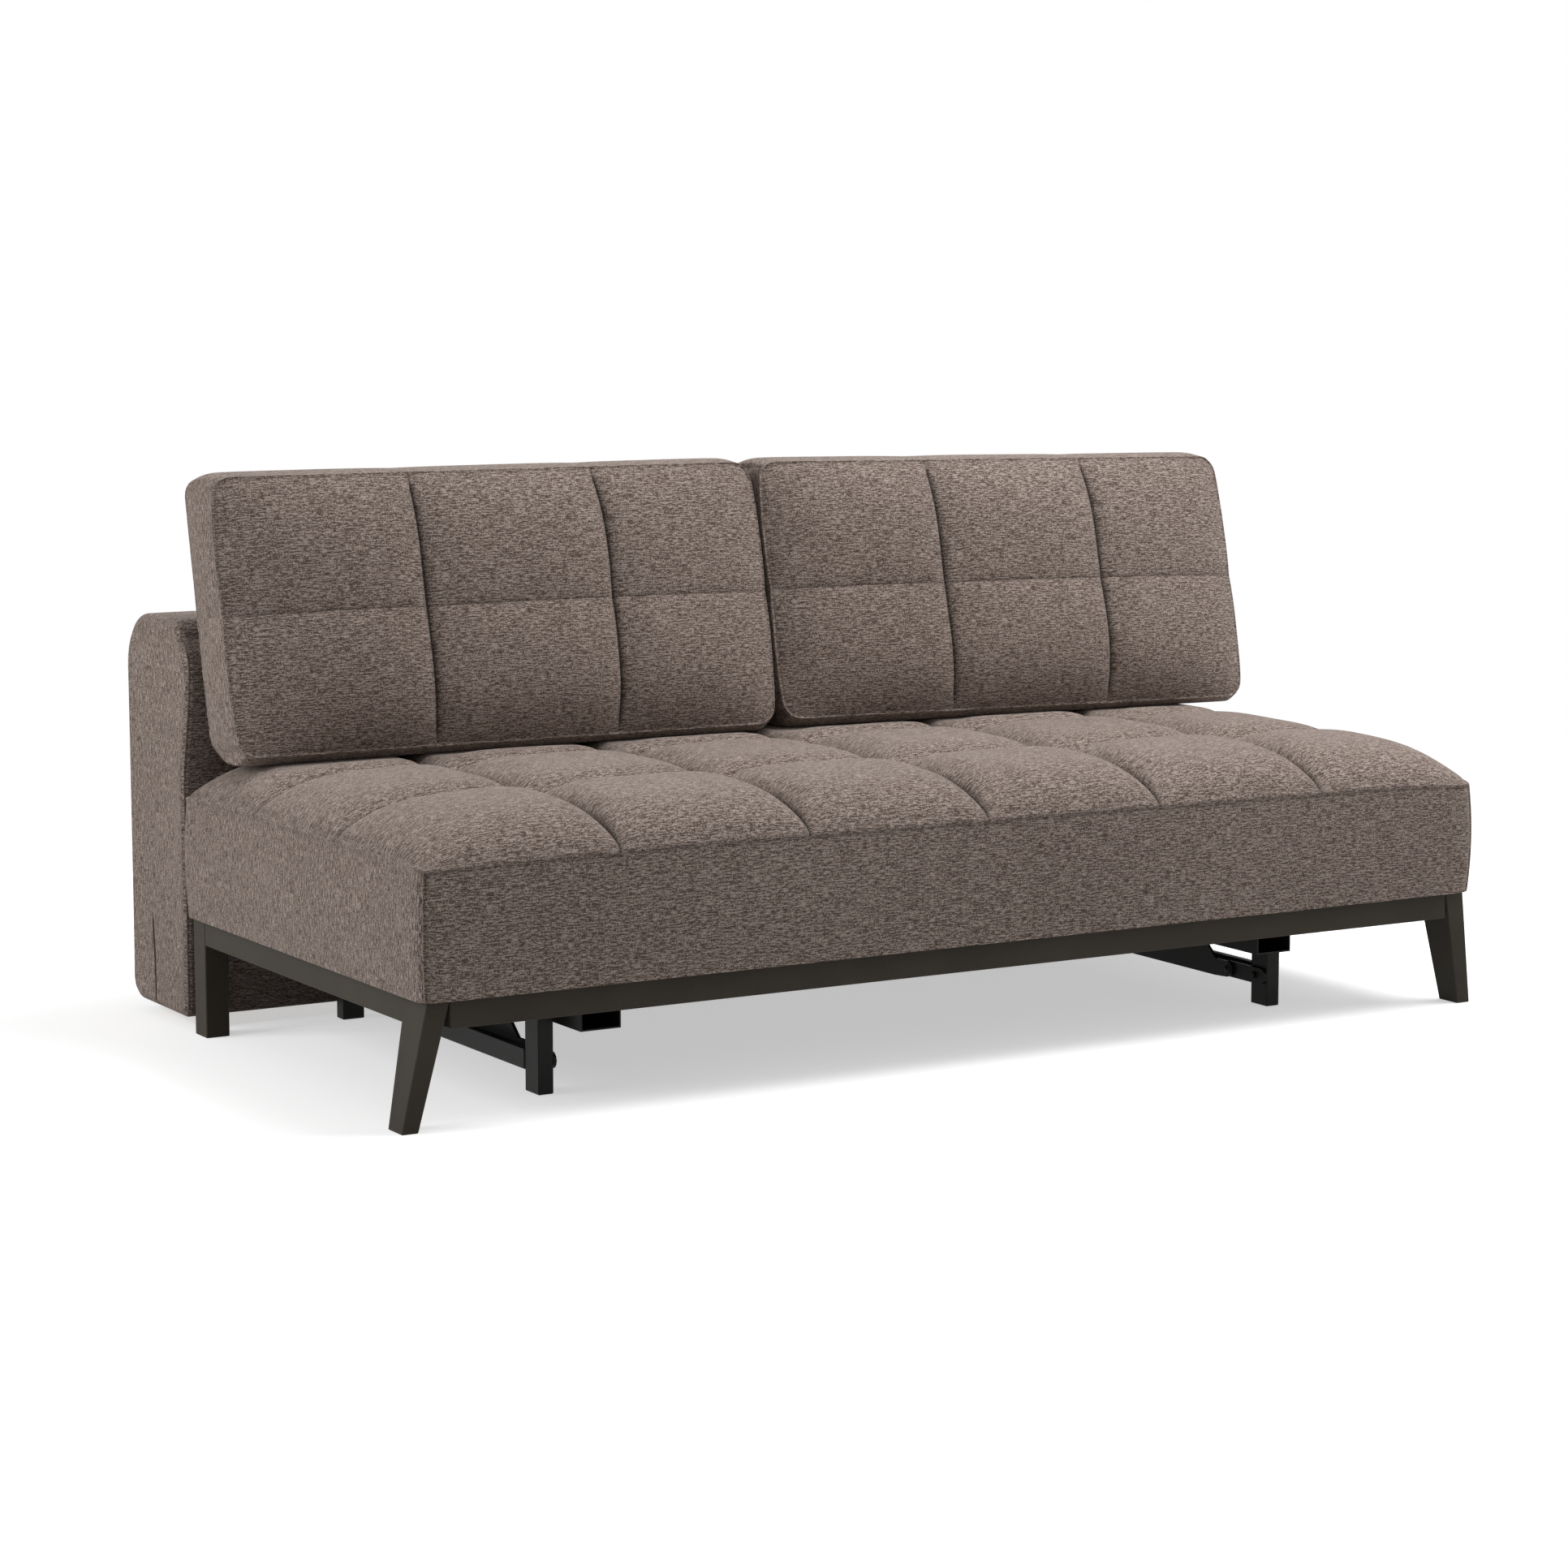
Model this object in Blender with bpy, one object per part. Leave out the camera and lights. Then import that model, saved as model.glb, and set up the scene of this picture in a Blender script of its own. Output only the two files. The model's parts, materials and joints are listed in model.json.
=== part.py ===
"""Three-seat futon sofa that opens into a bed.

Metres, +Z up, +Y towards the back, +X to the right as seen from the front.
The origin is on the floor, under the middle of the closed sofa's outer box.
"""
import math

import bmesh
import bpy
from mathutils import Matrix, Vector

TOUCH = 0.0003

# Painted metal frame
FRAME_LENGTH = 2.000
FRAME_DEPTH = 0.900
FRAME_TOP = 0.202
RAIL_HEIGHT = 0.044
RAIL_THICKNESS = 0.028
FRONT_LEG_TOP_WIDTH = 0.038
FRONT_LEG_TOP_DEPTH = 0.077
FRONT_LEG_FOOT_WIDTH = 0.028
FRONT_LEG_FOOT_DEPTH = 0.049
FRONT_LEG_SPLAY = 0.036
FRONT_LEG_FOOT_SETBACK = 0.018
REAR_LEG_WIDTH = 0.042
REAR_LEG_DEPTH = 0.048
METAL_EDGE = 0.0015

# Slide unit under the seat, one on each side
UNIT_INSET = 0.378
TUBE_WIDTH = 0.071
TUBE_HEIGHT = 0.0467
TUBE_WALL = 0.0025
TUBE_FRONT = 0.090
MID_LEG_GAP = 0.009
FRONT_MID_LEG_WIDTH = 0.027
FRONT_MID_LEG_DEPTH = 0.046
FRONT_MID_LEG_Y = 0.165
REAR_MID_LEG_WIDTH = 0.040
REAR_MID_LEG_DEPTH = 0.027
REAR_MID_LEG_INSET = 0.019
STRETCHER_THICKNESS = 0.015
STRETCHER_HEIGHT = 0.034
STRETCHER_BOTTOM = 0.034
LINK_THICKNESS = 0.0055
LINK_TOP = 0.108
LINK_BOTTOM = 0.036
LINK_NECK_TOP = 0.066
LINK_NECK_Y = 0.300
LINK_SHOULDER_Y = 0.350
LINK_PIVOT_Y = 0.266
LINK_PIVOT_Z = 0.052
HANGER_BOTTOM = 0.133

# Seat
SEAT_OVERHANG_FRONT = 0.015
SEAT_OVERHANG_REAR = 0.015
SEAT_OVERHANG_END = 0.017
SEAT_SEAM_HEIGHT = 0.400
SEAT_SEAM_RISE = 0.014
SEAT_CROWN = 0.048
SEAT_PUFF = 0.022
SEAT_CHANNEL_LIFT = 0.011
SEAT_ROUNDING = 12
SEAT_PRESSED_DEPTH = 0.275
SEAT_WALL = 0.030
SEAT_PADDING_TOP = 0.030
SEAT_EDGE_DRAW = 0.004
SEAT_COLUMNS = 6
SEAT_ROWS = 3
BASE_BOARD_THICKNESS = 0.018
SEAT_BOARD_HEIGHT = 0.060
SEAT_BOARD_THICKNESS = 0.022
WEBBING_COLUMNS = 9
WEBBING_ROWS = 4
WEBBING_WIDTH = 0.070
WEBBING_THICKNESS = 0.002
DUST_CLOTH_THICKNESS = 0.0015

# Upholstered back, a box that turns over to become the rear half of the bed
BACK_GAP = 0.015
BACK_THICKNESS = 0.245
BACK_BOTTOM = 0.020
BACK_TOP = 0.698
BACK_BULGE = 0.030
BACK_BULGE_START = 0.440
BACK_RADIUS_FRONT_BOTTOM = 0.020
BACK_RADIUS_FRONT_TOP = 0.035
BACK_RADIUS_REAR_TOP = 0.078
BACK_RADIUS_REAR_BOTTOM = 0.045
BACK_END_SEAM = 0.008
BACK_WALL = 0.030
BACK_BOARD = 0.018
BACK_TOP_BOARD = 0.024
BACK_PANEL = 0.006
BACK_PANEL_BOTTOM = 0.175

# Swing arms that carry the back over
ARM_PIVOT_Y = 0.045
ARM_PIVOT_Z = 0.135
BACK_PIVOT_INSET = 0.165
BACK_PIVOT_HEIGHT = 0.0625
ARM_THICKNESS = 0.014
ARM_WIDTH = 0.030
EAR_THICKNESS = 0.006
EAR_GAP = 0.001
EAR_RADIUS = 0.017
BAR_REACH = 0.025
BAR_LENGTH = 0.300
BAR_CLEARANCE = 0.0006
PIN_RADIUS = 0.006
PIN_CLEARANCE = 0.0003
PIN_PROUD = 0.003
SLOT_WIDTH = 0.057
SLOT_FRONT_HEIGHT = 0.148
SLOT_REAR_HEIGHT = 0.060
HINGE_PLATE_THICKNESS = 0.006
HINGE_BRACKET_RISE = 0.100

# Folding leg under the rear edge of the opened bed
BED_LEG_INSET = 0.200
BED_LEG_PIVOT_Z = 0.600
BED_LEG_OFFSET = 0.016
BED_LEG_TUBE = 0.020
BED_LEG_FLOOR_GAP = 0.0005
BED_LEG_BAR_HEIGHT = 0.070
BRACKET_PLATE = 0.0025
BRACKET_HEIGHT = 0.060
BRACKET_EAR = 0.003
BRACKET_GAP = 0.0008
BED_LEG_PIN_RADIUS = 0.004

# Loose back cushions
CUSHION_GAP = 0.022
CUSHION_SHIFT = 0.023
CUSHION_REST_RISE = 0.0094
CUSHION_REST_FALL = 0.0052
CUSHION_REST_SAG = 0.004
CUSHION_TILT = {"left": 0.008, "right": 0.018}
CUSHION_SEAM_HEIGHT = 0.466
CUSHION_THICKNESS = 0.120
CUSHION_LEAN = math.radians(12.7)
CUSHION_FRONT_INSET = 0.212
CUSHION_SEAM_LIFT = 0.009
CUSHION_CROWN = 0.030
CUSHION_PUFF = 0.016
CUSHION_BACK_CROWN = 0.040
CUSHION_TOP_BULGE = 0.010
CUSHION_BOTTOM_SAG = 0.022
CUSHION_CORNER = 0.014
CUSHION_DRAW = 0.005
CUSHION_BACK_SHEAR = 0.018
CUSHION_LINES = (0.0, 0.352, 0.699, 1.0)
CUSHION_ROWS = 2
CUSHION_CROWN_ROUNDING = 4

# Steps of each soft cell's surface
SEAT_CELL_STEPS = (6, 4)
CUSHION_CELL_STEPS = (6, 6)

# Places worked out from the sizes above; distances along Y start at the frame's front
BACK_FRONT = FRAME_DEPTH + SEAT_OVERHANG_REAR + BACK_GAP
BACK_REAR = BACK_FRONT + BACK_THICKNESS
BED_LEG_REACH = BED_LEG_OFFSET + BED_LEG_TUBE / 2
CLOSED_DEPTH = SEAT_OVERHANG_FRONT + BACK_REAR + BED_LEG_REACH
FRONT_Y = SEAT_OVERHANG_FRONT - CLOSED_DEPTH / 2
HALF_LENGTH = FRAME_LENGTH / 2
BACK_HALF_LENGTH = HALF_LENGTH
CUSHION_WIDTH = HALF_LENGTH
UNIT_INNER_X = HALF_LENGTH - UNIT_INSET
ARM_CENTRE_X = UNIT_INNER_X + TUBE_WIDTH / 2
BED_LEG_X = BACK_HALF_LENGTH - BED_LEG_INSET
RAIL_BOTTOM = FRAME_TOP - RAIL_HEIGHT
FRONT_LEG_INNER_X = HALF_LENGTH - FRONT_LEG_TOP_WIDTH
REAR_LEG_INNER_X = HALF_LENGTH - REAR_LEG_WIDTH
REAR_LEG_Y = FRAME_DEPTH - REAR_LEG_DEPTH
REAR_MID_LEG_Y = FRAME_DEPTH - REAR_MID_LEG_INSET
DUST_CLOTH_BOTTOM = FRAME_TOP - TOUCH - DUST_CLOTH_THICKNESS
BEARER_TOP = DUST_CLOTH_BOTTOM - TOUCH
UNIT_TOP = RAIL_BOTTOM - TOUCH
TUBE_BOTTOM = UNIT_TOP - TUBE_HEIGHT
TUBE_OUTER_X = UNIT_INNER_X + TUBE_WIDTH
MID_LEG_INNER_X = TUBE_OUTER_X + MID_LEG_GAP
MID_LEG_MIDDLE_X = MID_LEG_INNER_X + FRONT_MID_LEG_WIDTH / 2
REAR_MID_LEG_INNER_X = MID_LEG_MIDDLE_X - REAR_MID_LEG_WIDTH / 2
BEARER_OUTER_X = MID_LEG_MIDDLE_X + REAR_MID_LEG_WIDTH / 2
SEAT_BOTTOM = FRAME_TOP + TOUCH
SEAT_HALF_LENGTH = HALF_LENGTH + SEAT_OVERHANG_END
SEAT_FRONT = -SEAT_OVERHANG_FRONT
SEAT_REAR = FRAME_DEPTH + SEAT_OVERHANG_REAR
SEAT_CAVITY_TOP = SEAT_SEAM_HEIGHT - SEAT_PADDING_TOP
SEAT_PRESSED_FRONT = SEAT_REAR - SEAT_PRESSED_DEPTH
CUSHION_FRONT_Y = SEAT_REAR - CUSHION_FRONT_INSET
CUSHION_REST_HEIGHT = SEAT_SEAM_HEIGHT + SEAT_SEAM_RISE + SEAT_CROWN + CUSHION_REST_RISE
ARM_PIVOT = (FRAME_DEPTH + ARM_PIVOT_Y, ARM_PIVOT_Z)
BACK_PIVOT = (BACK_FRONT + BACK_PIVOT_INSET, BACK_BOTTOM + BACK_PIVOT_HEIGHT)
BED_LEG_PIVOT = (BACK_REAR + BED_LEG_OFFSET, BED_LEG_PIVOT_Z)
ARM_INNER_X = ARM_CENTRE_X - ARM_THICKNESS / 2
ARM_OUTER_X = ARM_CENTRE_X + ARM_THICKNESS / 2
EAR_INNER_X = ARM_INNER_X - EAR_GAP - EAR_THICKNESS
EAR_OUTER_X = ARM_OUTER_X + EAR_GAP + EAR_THICKNESS
SLOT_INNER_X = ARM_CENTRE_X - SLOT_WIDTH / 2
SLOT_OUTER_X = ARM_CENTRE_X + SLOT_WIDTH / 2
OPEN_BACK_FACE = BACK_PIVOT_INSET + ARM_PIVOT_Z + BACK_PIVOT[0] - ARM_PIVOT[0]
OPEN_LEG_PIVOT_Z = OPEN_BACK_FACE - (BED_LEG_PIVOT[0] - BACK_FRONT)
SIDES = (("left", -1), ("right", 1))

# Finishes: colour, roughness, metallic
BRONZE_PAINT = ((0.050, 0.042, 0.035), 0.45, 0.3)
BLACK_STEEL = ((0.014, 0.014, 0.013), 0.50, 0.3)
ZINC = ((0.45, 0.45, 0.44), 0.35, 1.0)
BEECH = ((0.55, 0.38, 0.22), 0.60, 0.0)
PLYWOOD = ((0.60, 0.45, 0.28), 0.65, 0.0)
WEBBING = ((0.03, 0.03, 0.03), 0.85, 0.0)
FOAM = ((0.85, 0.80, 0.62), 0.95, 0.0)
TAUPE_CLOTH = ((0.150, 0.118, 0.098), 0.95, 0.0)
BLACK_CLOTH = ((0.010, 0.010, 0.010), 0.95, 0.0)


def clear_scene():
    for item in list(bpy.data.objects):
        bpy.data.objects.remove(item, do_unlink=True)


def finish_material(name, finish):
    colour, roughness, metallic = finish
    material = bpy.data.materials.new(name)
    material.use_nodes = True
    shader = material.node_tree.nodes["Principled BSDF"]
    shader.inputs["Base Color"].default_value = (*colour, 1.0)
    shader.inputs["Roughness"].default_value = roughness
    shader.inputs["Metallic"].default_value = metallic
    return material


def hang_on(item, pivot):
    """Parent a piece to the empty on its joint's axis and leave it where it is."""
    item.parent = pivot
    item.matrix_parent_inverse = Matrix.Translation(-pivot.location)


def pivot_empty(name, y, z):
    pivot = bpy.data.objects.new(name, None)
    pivot.location = (0.0, FRONT_Y + y, z)
    bpy.context.scene.collection.objects.link(pivot)
    return pivot


def make_object(name, bm, finish, pivot=None, edge=0.0, smooth=False):
    """Turn the built shape into a named object; Y so far is measured from the frame's front."""
    bmesh.ops.translate(bm, verts=bm.verts, vec=(0.0, FRONT_Y, 0.0))
    bmesh.ops.recalc_face_normals(bm, faces=bm.faces)
    mesh = bpy.data.meshes.new(name)
    bm.to_mesh(mesh)
    bm.free()
    item = bpy.data.objects.new(name, mesh)
    bpy.context.scene.collection.objects.link(item)
    if finish is None:
        item.hide_render = True
        item.display_type = "WIRE"
    else:
        mesh.materials.append(finish_material(name + "_finish", finish))
    if smooth:
        mesh.shade_smooth()
    if edge > 0.0:
        bevel = item.modifiers.new("edge", "BEVEL")
        bevel.width = edge
        bevel.segments = 1
        bevel.limit_method = "ANGLE"
        bevel.angle_limit = math.radians(40.0)
    if pivot is not None:
        hang_on(item, pivot)
    return item


def cut(item, cutter):
    boolean = item.modifiers.new("cut_" + cutter.name, "BOOLEAN")
    boolean.operation = "DIFFERENCE"
    boolean.solver = "EXACT"
    boolean.object = cutter


def join(item, other):
    boolean = item.modifiers.new("join_" + other.name, "BOOLEAN")
    boolean.operation = "UNION"
    boolean.solver = "EXACT"
    boolean.object = other


def span(side, near, far):
    """The X range of a piece that lies between two distances from the middle."""
    return sorted((side * near, side * far))


def add_box(bm, x_range, y_range, z_range):
    low = Vector((x_range[0], y_range[0], z_range[0]))
    high = Vector((x_range[1], y_range[1], z_range[1]))
    place = Matrix.Translation((low + high) / 2) @ Matrix.Diagonal((*(high - low), 1.0))
    bmesh.ops.create_cube(bm, size=1.0, matrix=place)


def add_prism(bm, outline, x_range):
    """Extrude an outline of (Y, Z) points along X."""
    corners = [bm.verts.new((x_range[0], y, z)) for y, z in outline]
    face = bm.faces.new(corners)
    grown = bmesh.ops.extrude_face_region(bm, geom=[face], use_keep_orig=True)["geom"]
    moved = [part for part in grown if isinstance(part, bmesh.types.BMVert)]
    bmesh.ops.translate(bm, verts=moved, vec=(x_range[1] - x_range[0], 0.0, 0.0))


def add_prism_along_y(bm, outline, y_range):
    """Extrude an outline of (X, Z) points along Y."""
    corners = [bm.verts.new((x, y_range[0], z)) for x, z in outline]
    face = bm.faces.new(corners)
    grown = bmesh.ops.extrude_face_region(bm, geom=[face], use_keep_orig=True)["geom"]
    moved = [part for part in grown if isinstance(part, bmesh.types.BMVert)]
    bmesh.ops.translate(bm, verts=moved, vec=(0.0, y_range[1] - y_range[0], 0.0))


def add_rod(bm, radius, x_range, centre, sides=16):
    """A round bar along X through the point (Y, Z)."""
    middle = Vector(((x_range[0] + x_range[1]) / 2, centre[0], centre[1]))
    place = Matrix.Translation(middle) @ Matrix.Rotation(math.pi / 2, 4, "Y")
    bmesh.ops.create_cone(bm, cap_ends=True, segments=sides, radius1=radius, radius2=radius,
                          depth=x_range[1] - x_range[0], matrix=place)


def box_object(name, x_range, y_range, z_range, finish, pivot=None, edge=0.0):
    bm = bmesh.new()
    add_box(bm, x_range, y_range, z_range)
    return make_object(name, bm, finish, pivot, edge)


def arc(centre, radius, start, end, steps):
    """Points on an arc in the (Y, Z) plane, angles in degrees from +Y towards +Z."""
    points = []
    for step in range(steps + 1):
        angle = math.radians(start + (end - start) * step / steps)
        points.append((centre[0] + radius * math.cos(angle), centre[1] + radius * math.sin(angle)))
    return points


def capsule(start, end, radius, steps=6):
    """The outline of a flat bar with round ends between two points."""
    heading = math.degrees(math.atan2(end[1] - start[1], end[0] - start[0]))
    near = arc(start, radius, heading + 90, heading + 270, steps)
    far = arc(end, radius, heading - 90, heading + 90, steps)
    return near + far


def add_leg(bm, foot, top, foot_z, top_z):
    """A straight leg from a foot rectangle to a top rectangle, each ((x0, x1), (y0, y1))."""
    (x0, x1), (y0, y1) = foot
    ring = [bm.verts.new(corner) for corner in
            ((x0, y0, foot_z), (x1, y0, foot_z), (x1, y1, foot_z), (x0, y1, foot_z))]
    face = bm.faces.new(ring)
    grown = bmesh.ops.extrude_face_region(bm, geom=[face], use_keep_orig=True)["geom"]
    for vertex in (part for part in grown if isinstance(part, bmesh.types.BMVert)):
        x = top[0][0] if vertex.co.x < (x0 + x1) / 2 else top[0][1]
        y = top[1][0] if vertex.co.y < (y0 + y1) / 2 else top[1][1]
        vertex.co = (x, y, top_z)


def make_rails():
    z_range = (RAIL_BOTTOM, FRAME_TOP)
    front_x = FRONT_LEG_INNER_X - TOUCH
    rear_x = REAR_LEG_INNER_X - TOUCH
    box_object("front_rail", (-front_x, front_x), (0.0, RAIL_THICKNESS), z_range,
               BRONZE_PAINT, edge=METAL_EDGE)
    box_object("rear_rail", (-rear_x, rear_x), (FRAME_DEPTH - RAIL_THICKNESS, FRAME_DEPTH),
               z_range, BRONZE_PAINT, edge=METAL_EDGE)
    for side_name, side in SIDES:
        box_object("side_rail_" + side_name, span(side, HALF_LENGTH - RAIL_THICKNESS, HALF_LENGTH),
                   (FRONT_LEG_TOP_DEPTH + TOUCH, REAR_LEG_Y - TOUCH), z_range,
                   BRONZE_PAINT, edge=METAL_EDGE)


def leg_feet():
    """Each foot's outline on the floor, as ((x near, x far), (y0, y1)) from the middle."""
    front_far = HALF_LENGTH + FRONT_LEG_SPLAY
    front = ((front_far - FRONT_LEG_FOOT_WIDTH, front_far),
             (FRONT_LEG_FOOT_SETBACK, FRONT_LEG_FOOT_SETBACK + FRONT_LEG_FOOT_DEPTH))
    rear = ((REAR_LEG_INNER_X, HALF_LENGTH), (REAR_LEG_Y, FRAME_DEPTH))
    front_mid = ((MID_LEG_INNER_X, MID_LEG_INNER_X + FRONT_MID_LEG_WIDTH),
                 (FRONT_MID_LEG_Y, FRONT_MID_LEG_Y + FRONT_MID_LEG_DEPTH))
    rear_mid = ((REAR_MID_LEG_INNER_X, REAR_MID_LEG_INNER_X + REAR_MID_LEG_WIDTH),
                (REAR_MID_LEG_Y, REAR_MID_LEG_Y + REAR_MID_LEG_DEPTH))
    return {"front": front, "rear": rear, "front_mid": front_mid, "rear_mid": rear_mid}


def make_legs():
    feet = leg_feet()
    front_top = ((FRONT_LEG_INNER_X, HALF_LENGTH), (0.0, FRONT_LEG_TOP_DEPTH))
    tops = {"front": (front_top, FRAME_TOP), "rear": (feet["rear"], FRAME_TOP),
            "front_mid": (feet["front_mid"], UNIT_TOP), "rear_mid": (feet["rear_mid"], UNIT_TOP)}
    names = {"front": "front_leg_", "rear": "rear_leg_",
             "front_mid": "mid_leg_front_", "rear_mid": "mid_leg_rear_"}
    for kind, foot in feet.items():
        top, top_z = tops[kind]
        finish = BLACK_STEEL if kind.endswith("mid") else BRONZE_PAINT
        for side_name, side in SIDES:
            bm = bmesh.new()
            add_leg(bm, (span(side, *foot[0]), foot[1]), (span(side, *top[0]), top[1]),
                    0.0, top_z)
            make_object(names[kind] + side_name, bm, finish, edge=METAL_EDGE)


def make_slide_units():
    """Bearer, open tube, stretcher and link plate of the mechanism on each side."""
    inside = (RAIL_THICKNESS + TOUCH, FRAME_DEPTH - RAIL_THICKNESS - TOUCH)
    leg_rear = FRONT_MID_LEG_Y + FRONT_MID_LEG_DEPTH + TOUCH
    leg_front = REAR_MID_LEG_Y - TOUCH
    for side_name, side in SIDES:
        box_object("bearer_" + side_name, span(side, UNIT_INNER_X, BEARER_OUTER_X), inside,
                   (RAIL_BOTTOM, BEARER_TOP), BLACK_STEEL, edge=METAL_EDGE)
        make_tube(side_name, side)
        middle = MID_LEG_MIDDLE_X
        box_object("stretcher_" + side_name,
                   span(side, middle, middle + STRETCHER_THICKNESS), (leg_rear, leg_front),
                   (STRETCHER_BOTTOM, STRETCHER_BOTTOM + STRETCHER_HEIGHT), BLACK_STEEL,
                   edge=METAL_EDGE)
        bm = bmesh.new()
        bracket_near = MID_LEG_INNER_X - TOUCH - LINK_THICKNESS
        link_far = bracket_near - TOUCH
        add_prism(bm, link_outline(leg_front), span(side, link_far - LINK_THICKNESS, link_far))
        make_object("link_plate_" + side_name, bm, BLACK_STEEL)
        bm = bmesh.new()
        half = LINK_NECK_TOP - LINK_PIVOT_Z
        strap = capsule((FRONT_MID_LEG_Y + half, LINK_PIVOT_Z), (LINK_PIVOT_Y, LINK_PIVOT_Z), half)
        add_prism(bm, strap, span(side, bracket_near, bracket_near + LINK_THICKNESS))
        make_object("link_bracket_" + side_name, bm, BLACK_STEEL)


def make_tube(side_name, side):
    y_range = (TUBE_FRONT, FRAME_DEPTH)
    tube = box_object("slide_tube_" + side_name, span(side, UNIT_INNER_X, TUBE_OUTER_X), y_range,
                      (TUBE_BOTTOM, UNIT_TOP), BLACK_STEEL)
    bore = box_object("tube_bore_" + side_name,
                      span(side, UNIT_INNER_X + TUBE_WALL, TUBE_OUTER_X - TUBE_WALL),
                      (y_range[0] - TUBE_WIDTH, y_range[1] + TUBE_WIDTH),
                      (TUBE_BOTTOM + TUBE_WALL, UNIT_TOP - TUBE_WALL), None)
    tab = box_object("tube_tab_" + side_name,
                     span(side, TUBE_OUTER_X - TUBE_WALL / 2, MID_LEG_INNER_X - TOUCH),
                     (FRONT_MID_LEG_Y, FRONT_MID_LEG_Y + FRONT_MID_LEG_DEPTH),
                     (HANGER_BOTTOM, UNIT_TOP), None)
    join(tube, tab)
    cut(tube, bore)


def link_outline(rear):
    """The plate between the mid legs: deep at the back, a narrow neck at its front bolt."""
    radius = LINK_NECK_TOP - LINK_PIVOT_Z
    nose = arc((LINK_PIVOT_Y, LINK_PIVOT_Z), radius, 90, 270, 6)
    return ([(rear, LINK_BOTTOM), (rear, LINK_TOP), (LINK_SHOULDER_Y, LINK_TOP),
             (LINK_NECK_Y, LINK_NECK_TOP)] + nose
            + [(LINK_NECK_Y, LINK_BOTTOM)])


def even_breaks(low, high, count):
    return [low + (high - low) * k / count for k in range(count + 1)]


def seat_breaks():
    columns = even_breaks(-SEAT_HALF_LENGTH, SEAT_HALF_LENGTH, SEAT_COLUMNS)
    return columns, even_breaks(SEAT_FRONT, SEAT_REAR, SEAT_ROWS)


def in_cell(share, breaks):
    """Where a share of the way along lies among the cells, and its place in its cell, -1 to 1."""
    cells = len(breaks) - 1
    cell = min(int(share * cells + 1e-4), cells - 1)
    part = (1 - math.cos(math.pi * (share * cells - cell))) / 2
    return breaks[cell] + part * (breaks[cell + 1] - breaks[cell]), 2 * part - 1


def puff(u, v):
    """A padded cell's rise over its sewn edges, 1 in the middle."""
    return (1 - abs(u) ** 3) * (1 - abs(v) ** 3)


def channel_lift(u, v):
    """How a sewn channel rises between its crossings, where the tufts pull it down."""
    return (1 - v ** 2) * u ** 2 + (1 - u ** 2) * v ** 2


def fade(position, low, high, power):
    """1 over the middle of a span and 0 at its ends."""
    return 1 - abs(2 * (position - low) / (high - low) - 1) ** power


def seat_seam(x, y):
    to_end = abs(x / SEAT_HALF_LENGTH) ** 4
    to_edge = abs(2 * (y - SEAT_FRONT) / (SEAT_REAR - SEAT_FRONT) - 1) ** 4
    return SEAT_SEAM_HEIGHT + SEAT_SEAM_RISE * (1 - to_end * to_edge)


def cushion_rest(x):
    """The height to which the cushions press the seat, a little lower towards the right."""
    return CUSHION_REST_HEIGHT - CUSHION_REST_FALL * x - CUSHION_REST_SAG * x ** 2


def seat_height(x, y, u, v):
    along = fade(x, -SEAT_HALF_LENGTH, SEAT_HALF_LENGTH, SEAT_ROUNDING)
    crown = along * fade(y, SEAT_FRONT, SEAT_REAR, SEAT_ROUNDING)
    lift = SEAT_CHANNEL_LIFT * channel_lift(u, v) + SEAT_PUFF * puff(u, v)
    height = seat_seam(x, y) + (SEAT_CROWN + lift) * crown
    return min(height, cushion_rest(x)) if y > SEAT_PRESSED_FRONT else height


def seat_point(a, b, c):
    """Shape the seat cover: a along its length, b across its depth, c up from its hem."""
    columns, rows = seat_breaks()
    x, u = in_cell(a, columns)
    y, v = in_cell(b, rows)
    if c > 1 - 1e-6:
        z = seat_height(x, y, u, v)
    else:
        z = SEAT_BOTTOM + c * (seat_seam(x, y) - SEAT_BOTTOM)
    draw = SEAT_EDGE_DRAW * (2 * c - 1) ** 2
    middle = (SEAT_FRONT + SEAT_REAR) / 2
    x *= 1 - draw / SEAT_HALF_LENGTH
    y = middle + (y - middle) * (1 - draw / (SEAT_REAR - middle))
    return x, y, z


def soft_block(name, steps, place, finish, pivot=None):
    """A closed block of quads, steps[0] by steps[1] by steps[2], shaped by place(a, b, c)."""
    bm = bmesh.new()
    bmesh.ops.create_grid(bm, x_segments=steps[0], y_segments=steps[1], size=0.5)
    layer = list(bm.faces)
    for step in range(steps[2]):
        grown = bmesh.ops.extrude_face_region(bm, geom=layer, use_keep_orig=(step == 0))["geom"]
        if step > 0:
            old = [face for face in layer if face.is_valid]
            bmesh.ops.delete(bm, geom=old, context="FACES_ONLY")
        layer = [part for part in grown if isinstance(part, bmesh.types.BMFace)]
        moved = [part for part in grown if isinstance(part, bmesh.types.BMVert)]
        bmesh.ops.translate(bm, verts=moved, vec=(0.0, 0.0, 1.0 / steps[2]))
    for vertex in bm.verts:
        vertex.co = place(vertex.co.x + 0.5, vertex.co.y + 0.5, vertex.co.z)
    return make_object(name, bm, finish, pivot, smooth=True)


def make_seat_cover():
    steps = (SEAT_COLUMNS * SEAT_CELL_STEPS[0], SEAT_ROWS * SEAT_CELL_STEPS[1], 2)
    cover = soft_block("seat_cover", steps, seat_point, TAUPE_CLOTH)
    cavity = box_object("seat_cavity", seat_inside_x(0.0), seat_inside_y(0.0),
                        (SEAT_BOTTOM - SEAT_WALL, SEAT_CAVITY_TOP), None)
    cut(cover, cavity)


def seat_inside_x(gap):
    half = SEAT_HALF_LENGTH - SEAT_WALL - gap
    return -half, half


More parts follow.
